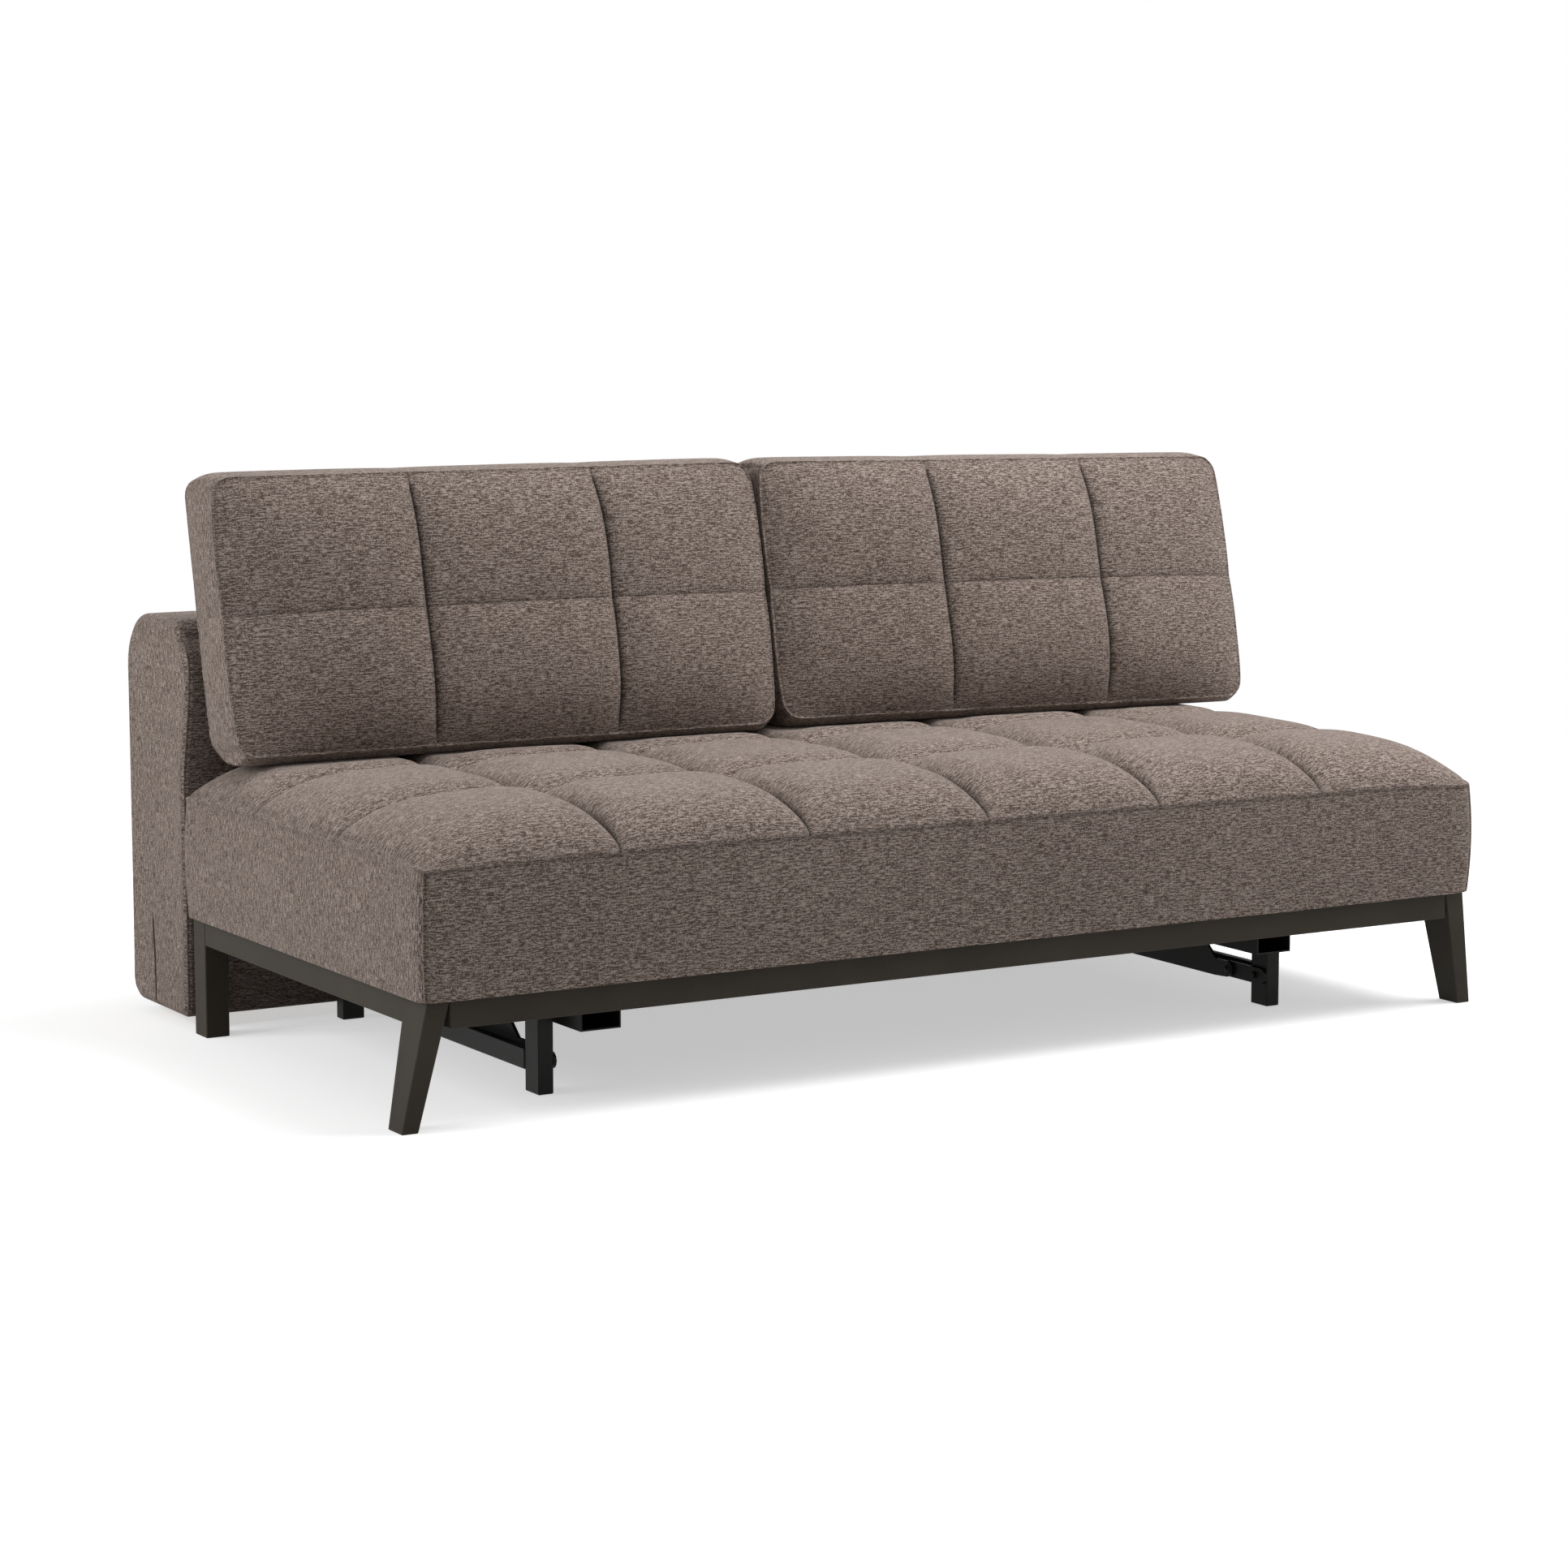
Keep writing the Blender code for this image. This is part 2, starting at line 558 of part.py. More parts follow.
def seat_inside_y(gap):
    return SEAT_FRONT + SEAT_WALL + gap, SEAT_REAR - SEAT_WALL - gap


def make_seat_core():
    """Plywood base, upright boards, webbing and foam inside the seat cover."""
    x0, x1 = seat_inside_x(TOUCH)
    y0, y1 = seat_inside_y(TOUCH)
    board_bottom = SEAT_BOTTOM + BASE_BOARD_THICKNESS + TOUCH
    board_top = board_bottom + SEAT_BOARD_HEIGHT
    box_object("seat_base_board", (x0, x1), (y0, y1), (SEAT_BOTTOM, board_bottom - TOUCH), PLYWOOD)
    board = SEAT_BOARD_THICKNESS
    for name, y_start in (("front", y0), ("rear", y1 - board)):
        box_object("seat_board_" + name, (x0, x1), (y_start, y_start + board),
                   (board_bottom, board_top), BEECH)
    for name, x_start in (("left", x0), ("right", x1 - board)):
        box_object("seat_board_" + name, (x_start, x_start + board),
                   (y0 + board + TOUCH, y1 - board - TOUCH), (board_bottom, board_top), BEECH)
    web_bottom = board_top + TOUCH
    make_webbing((x0, x1), (y0, y1), web_bottom)
    foam_bottom = web_bottom + WEBBING_THICKNESS + TOUCH
    box_object("seat_foam", (x0, x1), (y0, y1), (foam_bottom, SEAT_CAVITY_TOP - TOUCH), FOAM)
    half = min(FRONT_LEG_INNER_X, REAR_LEG_INNER_X) - TOUCH
    box_object("dust_cloth", (-half, half),
               (RAIL_THICKNESS + TOUCH, FRAME_DEPTH - RAIL_THICKNESS - TOUCH),
               (DUST_CLOTH_BOTTOM, DUST_CLOTH_BOTTOM + DUST_CLOTH_THICKNESS), BLACK_CLOTH)


def strap_edges(low, high, count):
    """The edges of evenly spaced straps across a span, with the span's own ends."""
    pitch = (high - low) / count
    edges = [low]
    for k in range(count):
        middle = low + pitch * (k + 0.5)
        edges += [middle - WEBBING_WIDTH / 2, middle + WEBBING_WIDTH / 2]
    return edges + [high]


def make_webbing(x_range, y_range, bottom):
    """Straps both ways, woven into one net: a grid of faces without its open squares."""
    xs = strap_edges(*x_range, WEBBING_COLUMNS)
    ys = strap_edges(*y_range, WEBBING_ROWS)
    bm = bmesh.new()
    knots = [[bm.verts.new((x, y, bottom)) for x in xs] for y in ys]
    for j in range(len(ys) - 1):
        for i in range(len(xs) - 1):
            if i % 2 == 1 or j % 2 == 1:
                bm.faces.new((knots[j][i], knots[j][i + 1], knots[j + 1][i + 1], knots[j + 1][i]))
    bmesh.ops.delete(bm, geom=[knot for row in knots for knot in row if not knot.link_faces],
                     context="VERTS")
    grown = bmesh.ops.extrude_face_region(bm, geom=list(bm.faces), use_keep_orig=True)["geom"]
    moved = [part for part in grown if isinstance(part, bmesh.types.BMVert)]
    bmesh.ops.translate(bm, verts=moved, vec=(0.0, 0.0, WEBBING_THICKNESS))
    make_object("seat_webbing", bm, WEBBING)


def back_outline():
    """The back's end view: square to the seat, rounded behind, bowed where cushions lean."""
    front, rear = BACK_FRONT, BACK_REAR
    low, high = BACK_RADIUS_FRONT_BOTTOM, BACK_RADIUS_FRONT_TOP
    outline = arc((rear - BACK_RADIUS_REAR_BOTTOM, BACK_BOTTOM + BACK_RADIUS_REAR_BOTTOM),
                  BACK_RADIUS_REAR_BOTTOM, -90, 0, 6)
    outline += arc((rear - BACK_RADIUS_REAR_TOP, BACK_TOP - BACK_RADIUS_REAR_TOP),
                   BACK_RADIUS_REAR_TOP, 0, 90, 6)
    outline += arc((front + high, BACK_TOP - high), high, 90, 180, 5)
    steps = 8
    for step in range(1, steps + 1):
        share = step / steps
        bow = BACK_BULGE * math.sin(math.pi * math.sqrt(share))
        z = BACK_TOP - high - share * (BACK_TOP - high - BACK_BULGE_START)
        outline.append((front - bow, z))
    outline += arc((front + low, BACK_BOTTOM + low), low, 180, 270, 4)
    return outline


def slot_outline():
    """The clearance that the arm and its lugs need through the bottom of the back."""
    out = BACK_WALL
    pivot_y, pivot_z = BACK_PIVOT
    return [(BACK_FRONT - out, BACK_BOTTOM - out),
            (BACK_FRONT - out, BACK_BOTTOM + SLOT_FRONT_HEIGHT),
            (BACK_FRONT + out, BACK_BOTTOM + SLOT_FRONT_HEIGHT - out / 3),
            (pivot_y + ARM_WIDTH, pivot_z + ARM_WIDTH),
            (BACK_REAR + out, BACK_BOTTOM + SLOT_REAR_HEIGHT),
            (BACK_REAR + out, BACK_BOTTOM - out)]


def make_back(pivot):
    bm = bmesh.new()
    add_prism(bm, back_outline(), (-BACK_HALF_LENGTH, BACK_HALF_LENGTH))
    cover = make_object("back_cover", bm, TAUPE_CLOTH, pivot, edge=BACK_END_SEAM)
    inside_x = BACK_HALF_LENGTH - BACK_WALL
    inside_y = (BACK_FRONT + BACK_WALL, BACK_REAR - BACK_WALL)
    inside_top = BACK_TOP - BACK_WALL
    cut(cover, box_object("back_cavity", (-inside_x, inside_x), inside_y,
                          (BACK_BOTTOM - BACK_WALL, inside_top), None, pivot))
    for side_name, side in SIDES:
        bm = bmesh.new()
        add_prism(bm, slot_outline(), span(side, SLOT_INNER_X, SLOT_OUTER_X))
        cut(cover, make_object("back_slot_" + side_name, bm, None, pivot))
    make_back_frame(pivot, inside_x - TOUCH, (inside_y[0] + TOUCH, inside_y[1] - TOUCH),
                    inside_top - TOUCH)


def make_back_frame(pivot, half, y_range, top):
    """Boards and thin panels inside the back."""
    base_top = BACK_BOTTOM + BACK_BOARD
    base_y = (y_range[0], BACK_REAR - BACK_RADIUS_REAR_BOTTOM)
    for name, x_range in (("left", (-half, -SLOT_OUTER_X - TOUCH)),
                          ("middle", (-SLOT_INNER_X + TOUCH, SLOT_INNER_X - TOUCH)),
                          ("right", (SLOT_OUTER_X + TOUCH, half))):
        box_object("back_base_board_" + name, x_range, base_y, (BACK_BOTTOM, base_top),
                   BEECH, pivot)
    board_bottom = top - BACK_TOP_BOARD
    box_object("back_top_board", (-half, half), y_range, (board_bottom, top), BEECH, pivot)
    upright_z = (base_top + TOUCH, board_bottom - TOUCH)
    for side_name, side in SIDES:
        box_object("back_end_board_" + side_name, span(side, half - BACK_TOP_BOARD, half), y_range,
                   upright_z, BEECH, pivot)
    panel_half = half - BACK_TOP_BOARD - TOUCH
    panel_z = (BACK_PANEL_BOTTOM, upright_z[1])
    box_object("back_front_panel", (-panel_half, panel_half),
               (y_range[0], y_range[0] + BACK_PANEL), panel_z, PLYWOOD, pivot)
    box_object("back_rear_panel", (-panel_half, panel_half),
               (y_range[1] - BACK_PANEL, y_range[1]), panel_z, PLYWOOD, pivot)


def make_arms(fold_pivot, tilt_pivot):
    """Swing arms, with their lugs on the frame's side and hinge brackets on the back's side."""
    bracket_y = (BACK_PIVOT[0] - ARM_WIDTH, BACK_PIVOT[0] + ARM_WIDTH)
    low, high = BACK_BOTTOM, BACK_PIVOT[1] + HINGE_BRACKET_RISE
    wall = HINGE_PLATE_THICKNESS
    for side_name, side in SIDES:
        holes = bmesh.new()
        for pivot in (ARM_PIVOT, BACK_PIVOT):
            add_rod(holes, PIN_RADIUS + PIN_CLEARANCE,
                    span(side, SLOT_INNER_X - wall, SLOT_OUTER_X + wall), pivot)
        holes = make_object("pin_holes_" + side_name, holes, None)
        arm = bmesh.new()
        add_prism(arm, capsule(ARM_PIVOT, BACK_PIVOT, ARM_WIDTH / 2),
                  span(side, ARM_INNER_X, ARM_OUTER_X))
        cut(make_object("swing_arm_" + side_name, arm, BLACK_STEEL, fold_pivot), holes)
        make_hinge_bar(side_name, side, holes)
        near, far = SLOT_INNER_X, SLOT_OUTER_X
        channel = [(near, low), (near, high), (far, high), (far, low), (far - wall, low),
                   (far - wall, high - wall), (near + wall, high - wall), (near + wall, low)]
        bracket = bmesh.new()
        add_prism_along_y(bracket, [(side * x, z) for x, z in channel], bracket_y)
        cut(make_object("hinge_bracket_" + side_name, bracket, BLACK_STEEL, tilt_pivot), holes)
        pin = bmesh.new()
        add_rod(pin, PIN_RADIUS, span(side, near + TOUCH, far - TOUCH), BACK_PIVOT)
        make_object("tilt_pin_" + side_name, pin, ZINC, tilt_pivot)
        pin = bmesh.new()
        add_rod(pin, PIN_RADIUS, span(side, EAR_INNER_X - PIN_PROUD, EAR_OUTER_X + PIN_PROUD),
                ARM_PIVOT)
        make_object("fold_pin_" + side_name, pin, ZINC)


def make_hinge_bar(side_name, side, holes):
    """The bar fixed in the tube's rear end, cut down to two ears behind it."""
    rear = FRAME_DEPTH + BAR_REACH
    gap = TUBE_WALL + BAR_CLEARANCE
    z_range = (TUBE_BOTTOM + gap, UNIT_TOP - gap)
    bar = box_object("hinge_bar_" + side_name,
                     span(side, UNIT_INNER_X + gap, TUBE_OUTER_X - gap),
                     (rear - BAR_LENGTH, rear), z_range, BLACK_STEEL)
    ears = bmesh.new()
    nose = arc(ARM_PIVOT, EAR_RADIUS, -90, 90, 8)
    outline = [(rear - BAR_REACH, ARM_PIVOT_Z + EAR_RADIUS),
               (rear - BAR_REACH, ARM_PIVOT_Z - EAR_RADIUS)] + nose
    for near in (EAR_INNER_X, EAR_OUTER_X - EAR_THICKNESS):
        add_prism(ears, outline, span(side, near, near + EAR_THICKNESS))
    ears = make_object("lug_ears_" + side_name, ears, None)
    join(bar, ears)
    cut(bar, holes)


def make_bed_leg(tilt_pivot, leg_pivot):
    """The hoop that hangs behind the back and stands under the opened bed."""
    pivot_y, pivot_z = BED_LEG_PIVOT
    half = BED_LEG_TUBE / 2
    foot = pivot_z - OPEN_LEG_PIVOT_Z + BED_LEG_FLOOR_GAP
    plate_y = (BACK_REAR + TOUCH, BACK_REAR + TOUCH + BRACKET_PLATE)
    ear_reach = half + BRACKET_GAP + BRACKET_EAR
    for side_name, side in SIDES:
        middle = side * BED_LEG_X
        hole = bmesh.new()
        add_rod(hole, BED_LEG_PIN_RADIUS + PIN_CLEARANCE,
                (middle - BED_LEG_TUBE, middle + BED_LEG_TUBE), BED_LEG_PIVOT, sides=12)
        hole = make_object("bed_leg_hole_" + side_name, hole, None)
        leg = bmesh.new()
        add_prism(leg, arc(BED_LEG_PIVOT, half, 0, 180, 8)
                  + [(pivot_y - half, foot), (pivot_y + half, foot)],
                  (middle - half, middle + half))
        cut(make_object("bed_leg_tube_" + side_name, leg, BLACK_STEEL, leg_pivot), hole)
        bracket = box_object("bed_leg_bracket_" + side_name,
                             (middle - ear_reach, middle + ear_reach), plate_y,
                             (pivot_z - BRACKET_HEIGHT / 2, pivot_z + BRACKET_HEIGHT / 2),
                             BLACK_STEEL, tilt_pivot)
        root = plate_y[0] + BRACKET_PLATE / 2
        ears = bmesh.new()
        for near in (-ear_reach, ear_reach - BRACKET_EAR):
            add_prism(ears, arc(BED_LEG_PIVOT, half, -90, 90, 6)
                      + [(root, pivot_z + half), (root, pivot_z - half)],
                      (middle + near, middle + near + BRACKET_EAR))
        join(bracket, make_object("bed_leg_ears_" + side_name, ears, None))
        cut(bracket, hole)
        pin = bmesh.new()
        add_rod(pin, BED_LEG_PIN_RADIUS, (middle - ear_reach - BRACKET_EAR / 2,
                                          middle + ear_reach + BRACKET_EAR / 2),
                BED_LEG_PIVOT, sides=12)
        make_object("bed_leg_pin_" + side_name, pin, ZINC, tilt_pivot)
    bar_half = BED_LEG_X - half - TOUCH
    bar_bottom = foot + BED_LEG_BAR_HEIGHT
    box_object("bed_leg_crossbar", (-bar_half, bar_half), (pivot_y - half, pivot_y + half),
               (bar_bottom, bar_bottom + BED_LEG_TUBE), BLACK_STEEL, leg_pivot, METAL_EDGE)


def cushion_shape(centre_x, tilt):
    """The function that shapes a cushion: a along X, b up the lean, c from back to front."""
    seam = (CUSHION_FRONT_Y, cushion_rest(centre_x) + CUSHION_SEAM_LIFT)
    up = Vector((math.sin(CUSHION_LEAN), math.cos(CUSHION_LEAN)))
    forward = Vector((-up.y, up.x))
    half_width = CUSHION_WIDTH / 2
    columns = [CUSHION_WIDTH * (line - 0.5) for line in CUSHION_LINES]
    rows = even_breaks(0.0, CUSHION_SEAM_HEIGHT, CUSHION_ROWS)

    def place(a, b, c):
        x, u = in_cell(a, columns)
        height, v = in_cell(b, rows)
        across = fade(x, -half_width, half_width, CUSHION_CROWN_ROUNDING)
        along = fade(height, 0.0, CUSHION_SEAM_HEIGHT, CUSHION_CROWN_ROUNDING)
        edge = 1 - (2 * c - 1) ** 2
        if c > 1 - 1e-6:
            depth = CUSHION_CROWN * across * along + CUSHION_PUFF * puff(u, v)
        elif c < 1e-6:
            depth = -CUSHION_THICKNESS - CUSHION_BACK_CROWN * across * along
        else:
            depth = -CUSHION_THICKNESS * (1 - c)
        reach = 2 * height / CUSHION_SEAM_HEIGHT - 1
        corner = CUSHION_CORNER * (x / half_width) ** 8 * reach ** 8
        if abs(reach) > 1 - 1e-6:
            height += edge * (CUSHION_TOP_BULGE if reach > 0 else -CUSHION_BOTTOM_SAG)
        if abs(x) > half_width - 1e-6:
            x += math.copysign(CUSHION_DRAW * edge, x)
        x *= 1 - (CUSHION_DRAW * (1 - reach ** 2) + corner) / half_width
        height += CUSHION_BACK_SHEAR * (1 - c) - math.copysign(corner, reach)
        y = seam[0] + up.x * height + forward.x * depth
        z = seam[1] + up.y * height + forward.y * depth - tilt * x
        return centre_x + x, y, max(z, cushion_rest(centre_x + x) + TOUCH)

    return place


def make_cushions():
    columns = len(CUSHION_LINES) - 1
    steps = (columns * CUSHION_CELL_STEPS[0], CUSHION_ROWS * CUSHION_CELL_STEPS[1], 4)
    offset = (CUSHION_WIDTH + CUSHION_GAP) / 2
    for side_name, side in SIDES:
        pivot = pivot_empty("cushion_lift_" + side_name, CUSHION_FRONT_Y, CUSHION_REST_HEIGHT)
        place = cushion_shape(CUSHION_SHIFT + side * offset, CUSHION_TILT[side_name])
        soft_block("back_cushion_" + side_name, steps, place, TAUPE_CLOTH, pivot)


def main():
    clear_scene()
    fold_pivot = pivot_empty("fold_axis", *ARM_PIVOT)
    tilt_pivot = pivot_empty("back_tilt_axis", *BACK_PIVOT)
    leg_pivot = pivot_empty("bed_leg_axis", *BED_LEG_PIVOT)
    make_rails()
    make_legs()
    make_slide_units()
    make_seat_cover()
    make_seat_core()
    make_back(tilt_pivot)
    make_arms(fold_pivot, tilt_pivot)
    make_bed_leg(tilt_pivot, leg_pivot)
    make_cushions()


main()
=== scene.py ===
# %% [markdown]
# # A three-seat futon sofa, dressed from its plain solids
#
# The frame folder holds the sofa's parts as plain, correctly sized solids. This lesson keeps
# the metalwork and gives it a painted finish, and then makes the upholstery again as soft,
# sewn shapes: a tufted seat, a back box and two loose cushions. Everything is in metres,
# with Z up and the front of the sofa towards -Y.

import json
import math

import bmesh
import bpy
from mathutils import Matrix, Vector, noise
from mathutils.bvhtree import BVHTree

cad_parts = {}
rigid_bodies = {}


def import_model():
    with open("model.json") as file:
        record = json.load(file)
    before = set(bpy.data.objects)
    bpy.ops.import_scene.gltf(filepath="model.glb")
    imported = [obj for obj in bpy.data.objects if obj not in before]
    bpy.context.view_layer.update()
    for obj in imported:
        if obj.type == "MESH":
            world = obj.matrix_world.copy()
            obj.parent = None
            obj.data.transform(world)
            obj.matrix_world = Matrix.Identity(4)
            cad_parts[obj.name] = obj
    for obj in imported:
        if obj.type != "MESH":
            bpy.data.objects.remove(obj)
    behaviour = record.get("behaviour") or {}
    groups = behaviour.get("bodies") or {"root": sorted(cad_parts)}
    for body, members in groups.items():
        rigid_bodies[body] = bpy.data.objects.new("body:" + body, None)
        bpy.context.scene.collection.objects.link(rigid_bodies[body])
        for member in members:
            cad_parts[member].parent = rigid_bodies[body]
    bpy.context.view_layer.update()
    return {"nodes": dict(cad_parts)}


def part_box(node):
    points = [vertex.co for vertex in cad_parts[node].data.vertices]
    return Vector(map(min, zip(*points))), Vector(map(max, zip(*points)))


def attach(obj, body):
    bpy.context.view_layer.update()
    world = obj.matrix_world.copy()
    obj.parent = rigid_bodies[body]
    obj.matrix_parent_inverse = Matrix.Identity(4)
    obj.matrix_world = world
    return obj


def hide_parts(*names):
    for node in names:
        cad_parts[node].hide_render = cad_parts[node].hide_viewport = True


for leftover in list(bpy.data.objects):
    bpy.data.objects.remove(leftover, do_unlink=True)
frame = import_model()

# %% [markdown]
# ## The camera
# The photograph was taken with a long lens from the left of the sofa, a little above the
# cushions. A camera can be placed by eye. Here its place was worked out from the frame's
# straight edges, so that the perspective matches.

# %% Camera
CAMERA_PLACE = (-3.609, -6.014, 1.361)
CAMERA_HEADING = -0.5374
CAMERA_DIP = 0.1373
CAMERA_LENS = 93.55
CAMERA_FILM = 36.0

camera_data = bpy.data.cameras.new("camera")
camera_data.lens = CAMERA_LENS
camera_data.sensor_width = CAMERA_FILM
camera = bpy.data.objects.new("camera", camera_data)
camera.location = CAMERA_PLACE
camera.rotation_euler = (math.pi / 2 - CAMERA_DIP, 0.0, CAMERA_HEADING)
bpy.context.scene.collection.objects.link(camera)
bpy.context.scene.camera = camera
print("camera lens:", camera_data.lens, "mm")

# %% [markdown]
# ## Light
# A studio lights a sofa with large soft boxes. Area lamps do the same here, because a lamp's
# size sets how soft its shadow is: one overhead, one on the left and a weaker one at the
# front right. Together they are bright enough for a colour to render as it is written.

# %% Lamps
def soft_lamp(name, place, target, size, power):
    """A square area lamp at a place, turned towards a target point."""
    data = bpy.data.lights.new(name, "AREA")
    data.shape = "SQUARE"
    data.size = size
    data.energy = power
    lamp = bpy.data.objects.new(name, data)
    lamp.location = place
    aim = Vector(target) - Vector(place)
    lamp.rotation_euler = aim.to_track_quat("-Z", "Y").to_euler()
    bpy.context.scene.collection.objects.link(lamp)


soft_lamp("overhead_lamp", place=(1.7, -0.9, 4.0), target=(0.2, 0.0, 0.4), size=3.0, power=174.0)
soft_lamp("left_lamp", place=(-4.6, 0.7, 1.9), target=(-0.6, 0.0, 0.4), size=2.4, power=101.0)
soft_lamp("right_lamp", place=(4.4, -2.2, 2.6), target=(0.5, 0.0, 0.5), size=2.4, power=34.0)

# %% [markdown]
# ## The world
# Around the sofa is an even grey glow, which fills the shadows. The background should still
# be white, and a brighter glow would wash the colours out. So the world looks at what kind
# of ray meets it: camera, glossy and see-through rays find white, and only the rays that
# carry light find the glow. A few helpers for shader nodes come first.

# %% Shader helpers
def grey(level):
    return (level, level, level, 1.0)


def set_values(node, **settings):
    """Set a node's unlinked inputs, and else its properties, by name, with _ for a space."""
    for key, value in settings.items():
        name = key.replace("_", " ")
        if name in node.inputs:
            node.inputs[name].default_value = value
        else:
            setattr(node, key, value)


def add_node(tree, kind, **settings):
    """A new shader node with some of its inputs and properties set by name."""
    made = tree.nodes.new("ShaderNode" + kind)
    set_values(made, **settings)
    return made


def mixed(tree, share, first, second):
    """The first shader where share is 0, and the second one where it is 1."""
    mix = add_node(tree, "MixShader")
    for socket, source in zip(mix.inputs, (share, first, second)):
        tree.links.new(source, socket)
    return mix.outputs[0]


def camera_sees(tree):
    """1 for camera, glossy and see-through rays, and 0 for the rays that carry light."""
    rays = add_node(tree, "LightPath").outputs
    seen = rays["Is Camera Ray"]
    for kind in ("Is Glossy Ray", "Is Transmission Ray"):
        either = add_node(tree, "Math", operation="MAXIMUM")
        tree.links.new(seen, either.inputs[0])
        tree.links.new(rays[kind], either.inputs[1])
        seen = either.outputs[0]
    return seen


print("a mid grey is", grey(0.5))

# %% World
WORLD_GLOW = 0.31

world = bpy.data.worlds.new("studio")
world.use_nodes = True
bpy.context.scene.world = world
world_tree = world.node_tree
glow = world_tree.nodes["Background"]
set_values(glow, Strength=WORLD_GLOW, Color=grey(1.0))
white = add_node(world_tree, "Background", Color=grey(1.0), Strength=1.0)
world_light = mixed(world_tree, camera_sees(world_tree), glow.outputs[0], white.outputs[0])
world_tree.links.new(world_light, world_tree.nodes["World Output"].inputs["Surface"])
bpy.context.scene.view_settings.view_transform = "Standard"
print("the world glows at", WORLD_GLOW)

# %% [markdown]
# ## The floor
# A studio floor is a wide sheet of white paper. It could curve up into a backdrop, but a
# plane is enough. It is nearly white where the lamps reach it and holds the sofa's soft
# shadow. For the camera, some glow is added, and away from the sofa it turns into plain
# white, so that it meets the background unseen. The light that it throws back on the sofa
# is held down, as a grey sheet would do it.

# %% Floor material
FLOOR_PAPER = 0.80
FLOOR_GLOW = 0.52
FLOOR_BOUNCE = 0.50
FLOOR_NEAR = 2.2
FLOOR_FAR = 4.5


def new_material(name):
    """A new material, its node tree and its main shader."""
    material = bpy.data.materials.new(name)
    material.use_nodes = True
    return material, material.node_tree, material.node_tree.nodes["Principled BSDF"]


def paper_floor_material():
    material, tree, shader = new_material("white_paper")
    tree.nodes.remove(shader)
    paper = add_node(tree, "BsdfDiffuse", Color=grey(FLOOR_PAPER))
    lift = add_node(tree, "Emission", Strength=FLOOR_GLOW)
    lifted = add_node(tree, "AddShader")
    plain = add_node(tree, "Emission", Strength=1.0)
    bounce = add_node(tree, "BsdfDiffuse", Color=grey(FLOOR_BOUNCE))
    place = add_node(tree, "TexCoord").outputs["Object"]
    length = add_node(tree, "VectorMath", operation="LENGTH")
    away = add_node(tree, "MapRange", interpolation_type="SMOOTHSTEP",
                    From_Min=FLOOR_NEAR, From_Max=FLOOR_FAR)
    tree.links.new(place, length.inputs[0])
    tree.links.new(length.outputs["Value"], away.inputs["Value"])
    tree.links.new(paper.outputs[0], lifted.inputs[0])
    tree.links.new(lift.outputs[0], lifted.inputs[1])
    faded = mixed(tree, away.outputs["Result"], lifted.outputs[0], plain.outputs[0])
    shown = mixed(tree, camera_sees(tree), bounce.outputs[0], faded)
    tree.links.new(shown, tree.nodes["Material Output"].inputs["Surface"])
    return material


paper_floor = paper_floor_material()
print("floor material:", paper_floor.name)

# %% Floor
FLOOR_SIZE = 60.0


def keep_mesh(name, bm, material):
    """Turn a finished bmesh into an object at the origin, with one material."""
    mesh = bpy.data.meshes.new(name)
    bm.to_mesh(mesh)
    bm.free()
    mesh.materials.append(material)
    item = bpy.data.objects.new(name, mesh)
    bpy.context.scene.collection.objects.link(item)
    return item


floor_bm = bmesh.new()
bmesh.ops.create_grid(floor_bm, x_segments=1, y_segments=1, size=FLOOR_SIZE / 2)
floor = keep_mesh("floor", floor_bm, paper_floor)
print("floor:", FLOOR_SIZE, "m square")

# %% [markdown]
# ## The cover cloth
# The cloth is a heathered weave: dark brown and pale grey-brown yarns, spun unevenly, so the
# weft shows as short pale and dark dashes with a longer slub here and there. A picture of
# cloth would repeat itself, so stretched noise makes the dashes instead. Each panel has its
# own layout, kept in a UV map in metres, and the dashes follow it as the real ones follow
# the cut. An attribute named crease paints shade into the bottoms of the seams and the sewn
# lines, where the cloth folds into shadow.

# %% Pattern helpers
YARN_ROUGHNESS = 0.6


def object_place(tree):
    return add_node(tree, "TexCoord").outputs["Object"]


def noise_at(tree, place, stretch=(1.0, 1.0, 1.0), **settings):
    """Noise read at a place, after the place is stretched by (x, y, z)."""
    turn = add_node(tree, "Mapping", Scale=stretch)
    made = add_node(tree, "TexNoise", **settings)
    tree.links.new(place, turn.inputs["Vector"])
    tree.links.new(turn.outputs["Vector"], made.inputs["Vector"])
    return made.outputs["Fac"]


def yarn_noise(tree, place, along, across, detail=2.0):
    """Streaks in the cloth: so many to the metre along the yarn and across it."""
    return noise_at(tree, place, (along, across, 1.0), Scale=1.0, Detail=detail,
                    Roughness=YARN_ROUGHNESS, noise_dimensions="2D")


def weighted(tree, terms, shift=0.0):
    """The sum of several values times their weights."""
    total = None
    for value, weight in terms:
        step = add_node(tree, "Math", operation="MULTIPLY_ADD")
        tree.links.new(value, step.inputs[0])
        step.inputs[1].default_value = weight
        if total is None:
            step.inputs[2].default_value = shift
        else:
            tree.links.new(total, step.inputs[2])
        total = step.outputs[0]
    return total


def colour_steps(tree, value, steps):
    """A colour ramp of (position, colour) steps."""
    ramp = add_node(tree, "ValToRGB")
    stops = ramp.color_ramp.elements
    for stop, (position, colour) in zip(stops, (steps[0], steps[-1])):
        stop.position = position
        stop.color = colour
    for position, colour in steps[1:-1]:
        stops.new(position).color = colour
    tree.links.new(value, ramp.inputs["Fac"])
    return ramp.outputs["Color"]


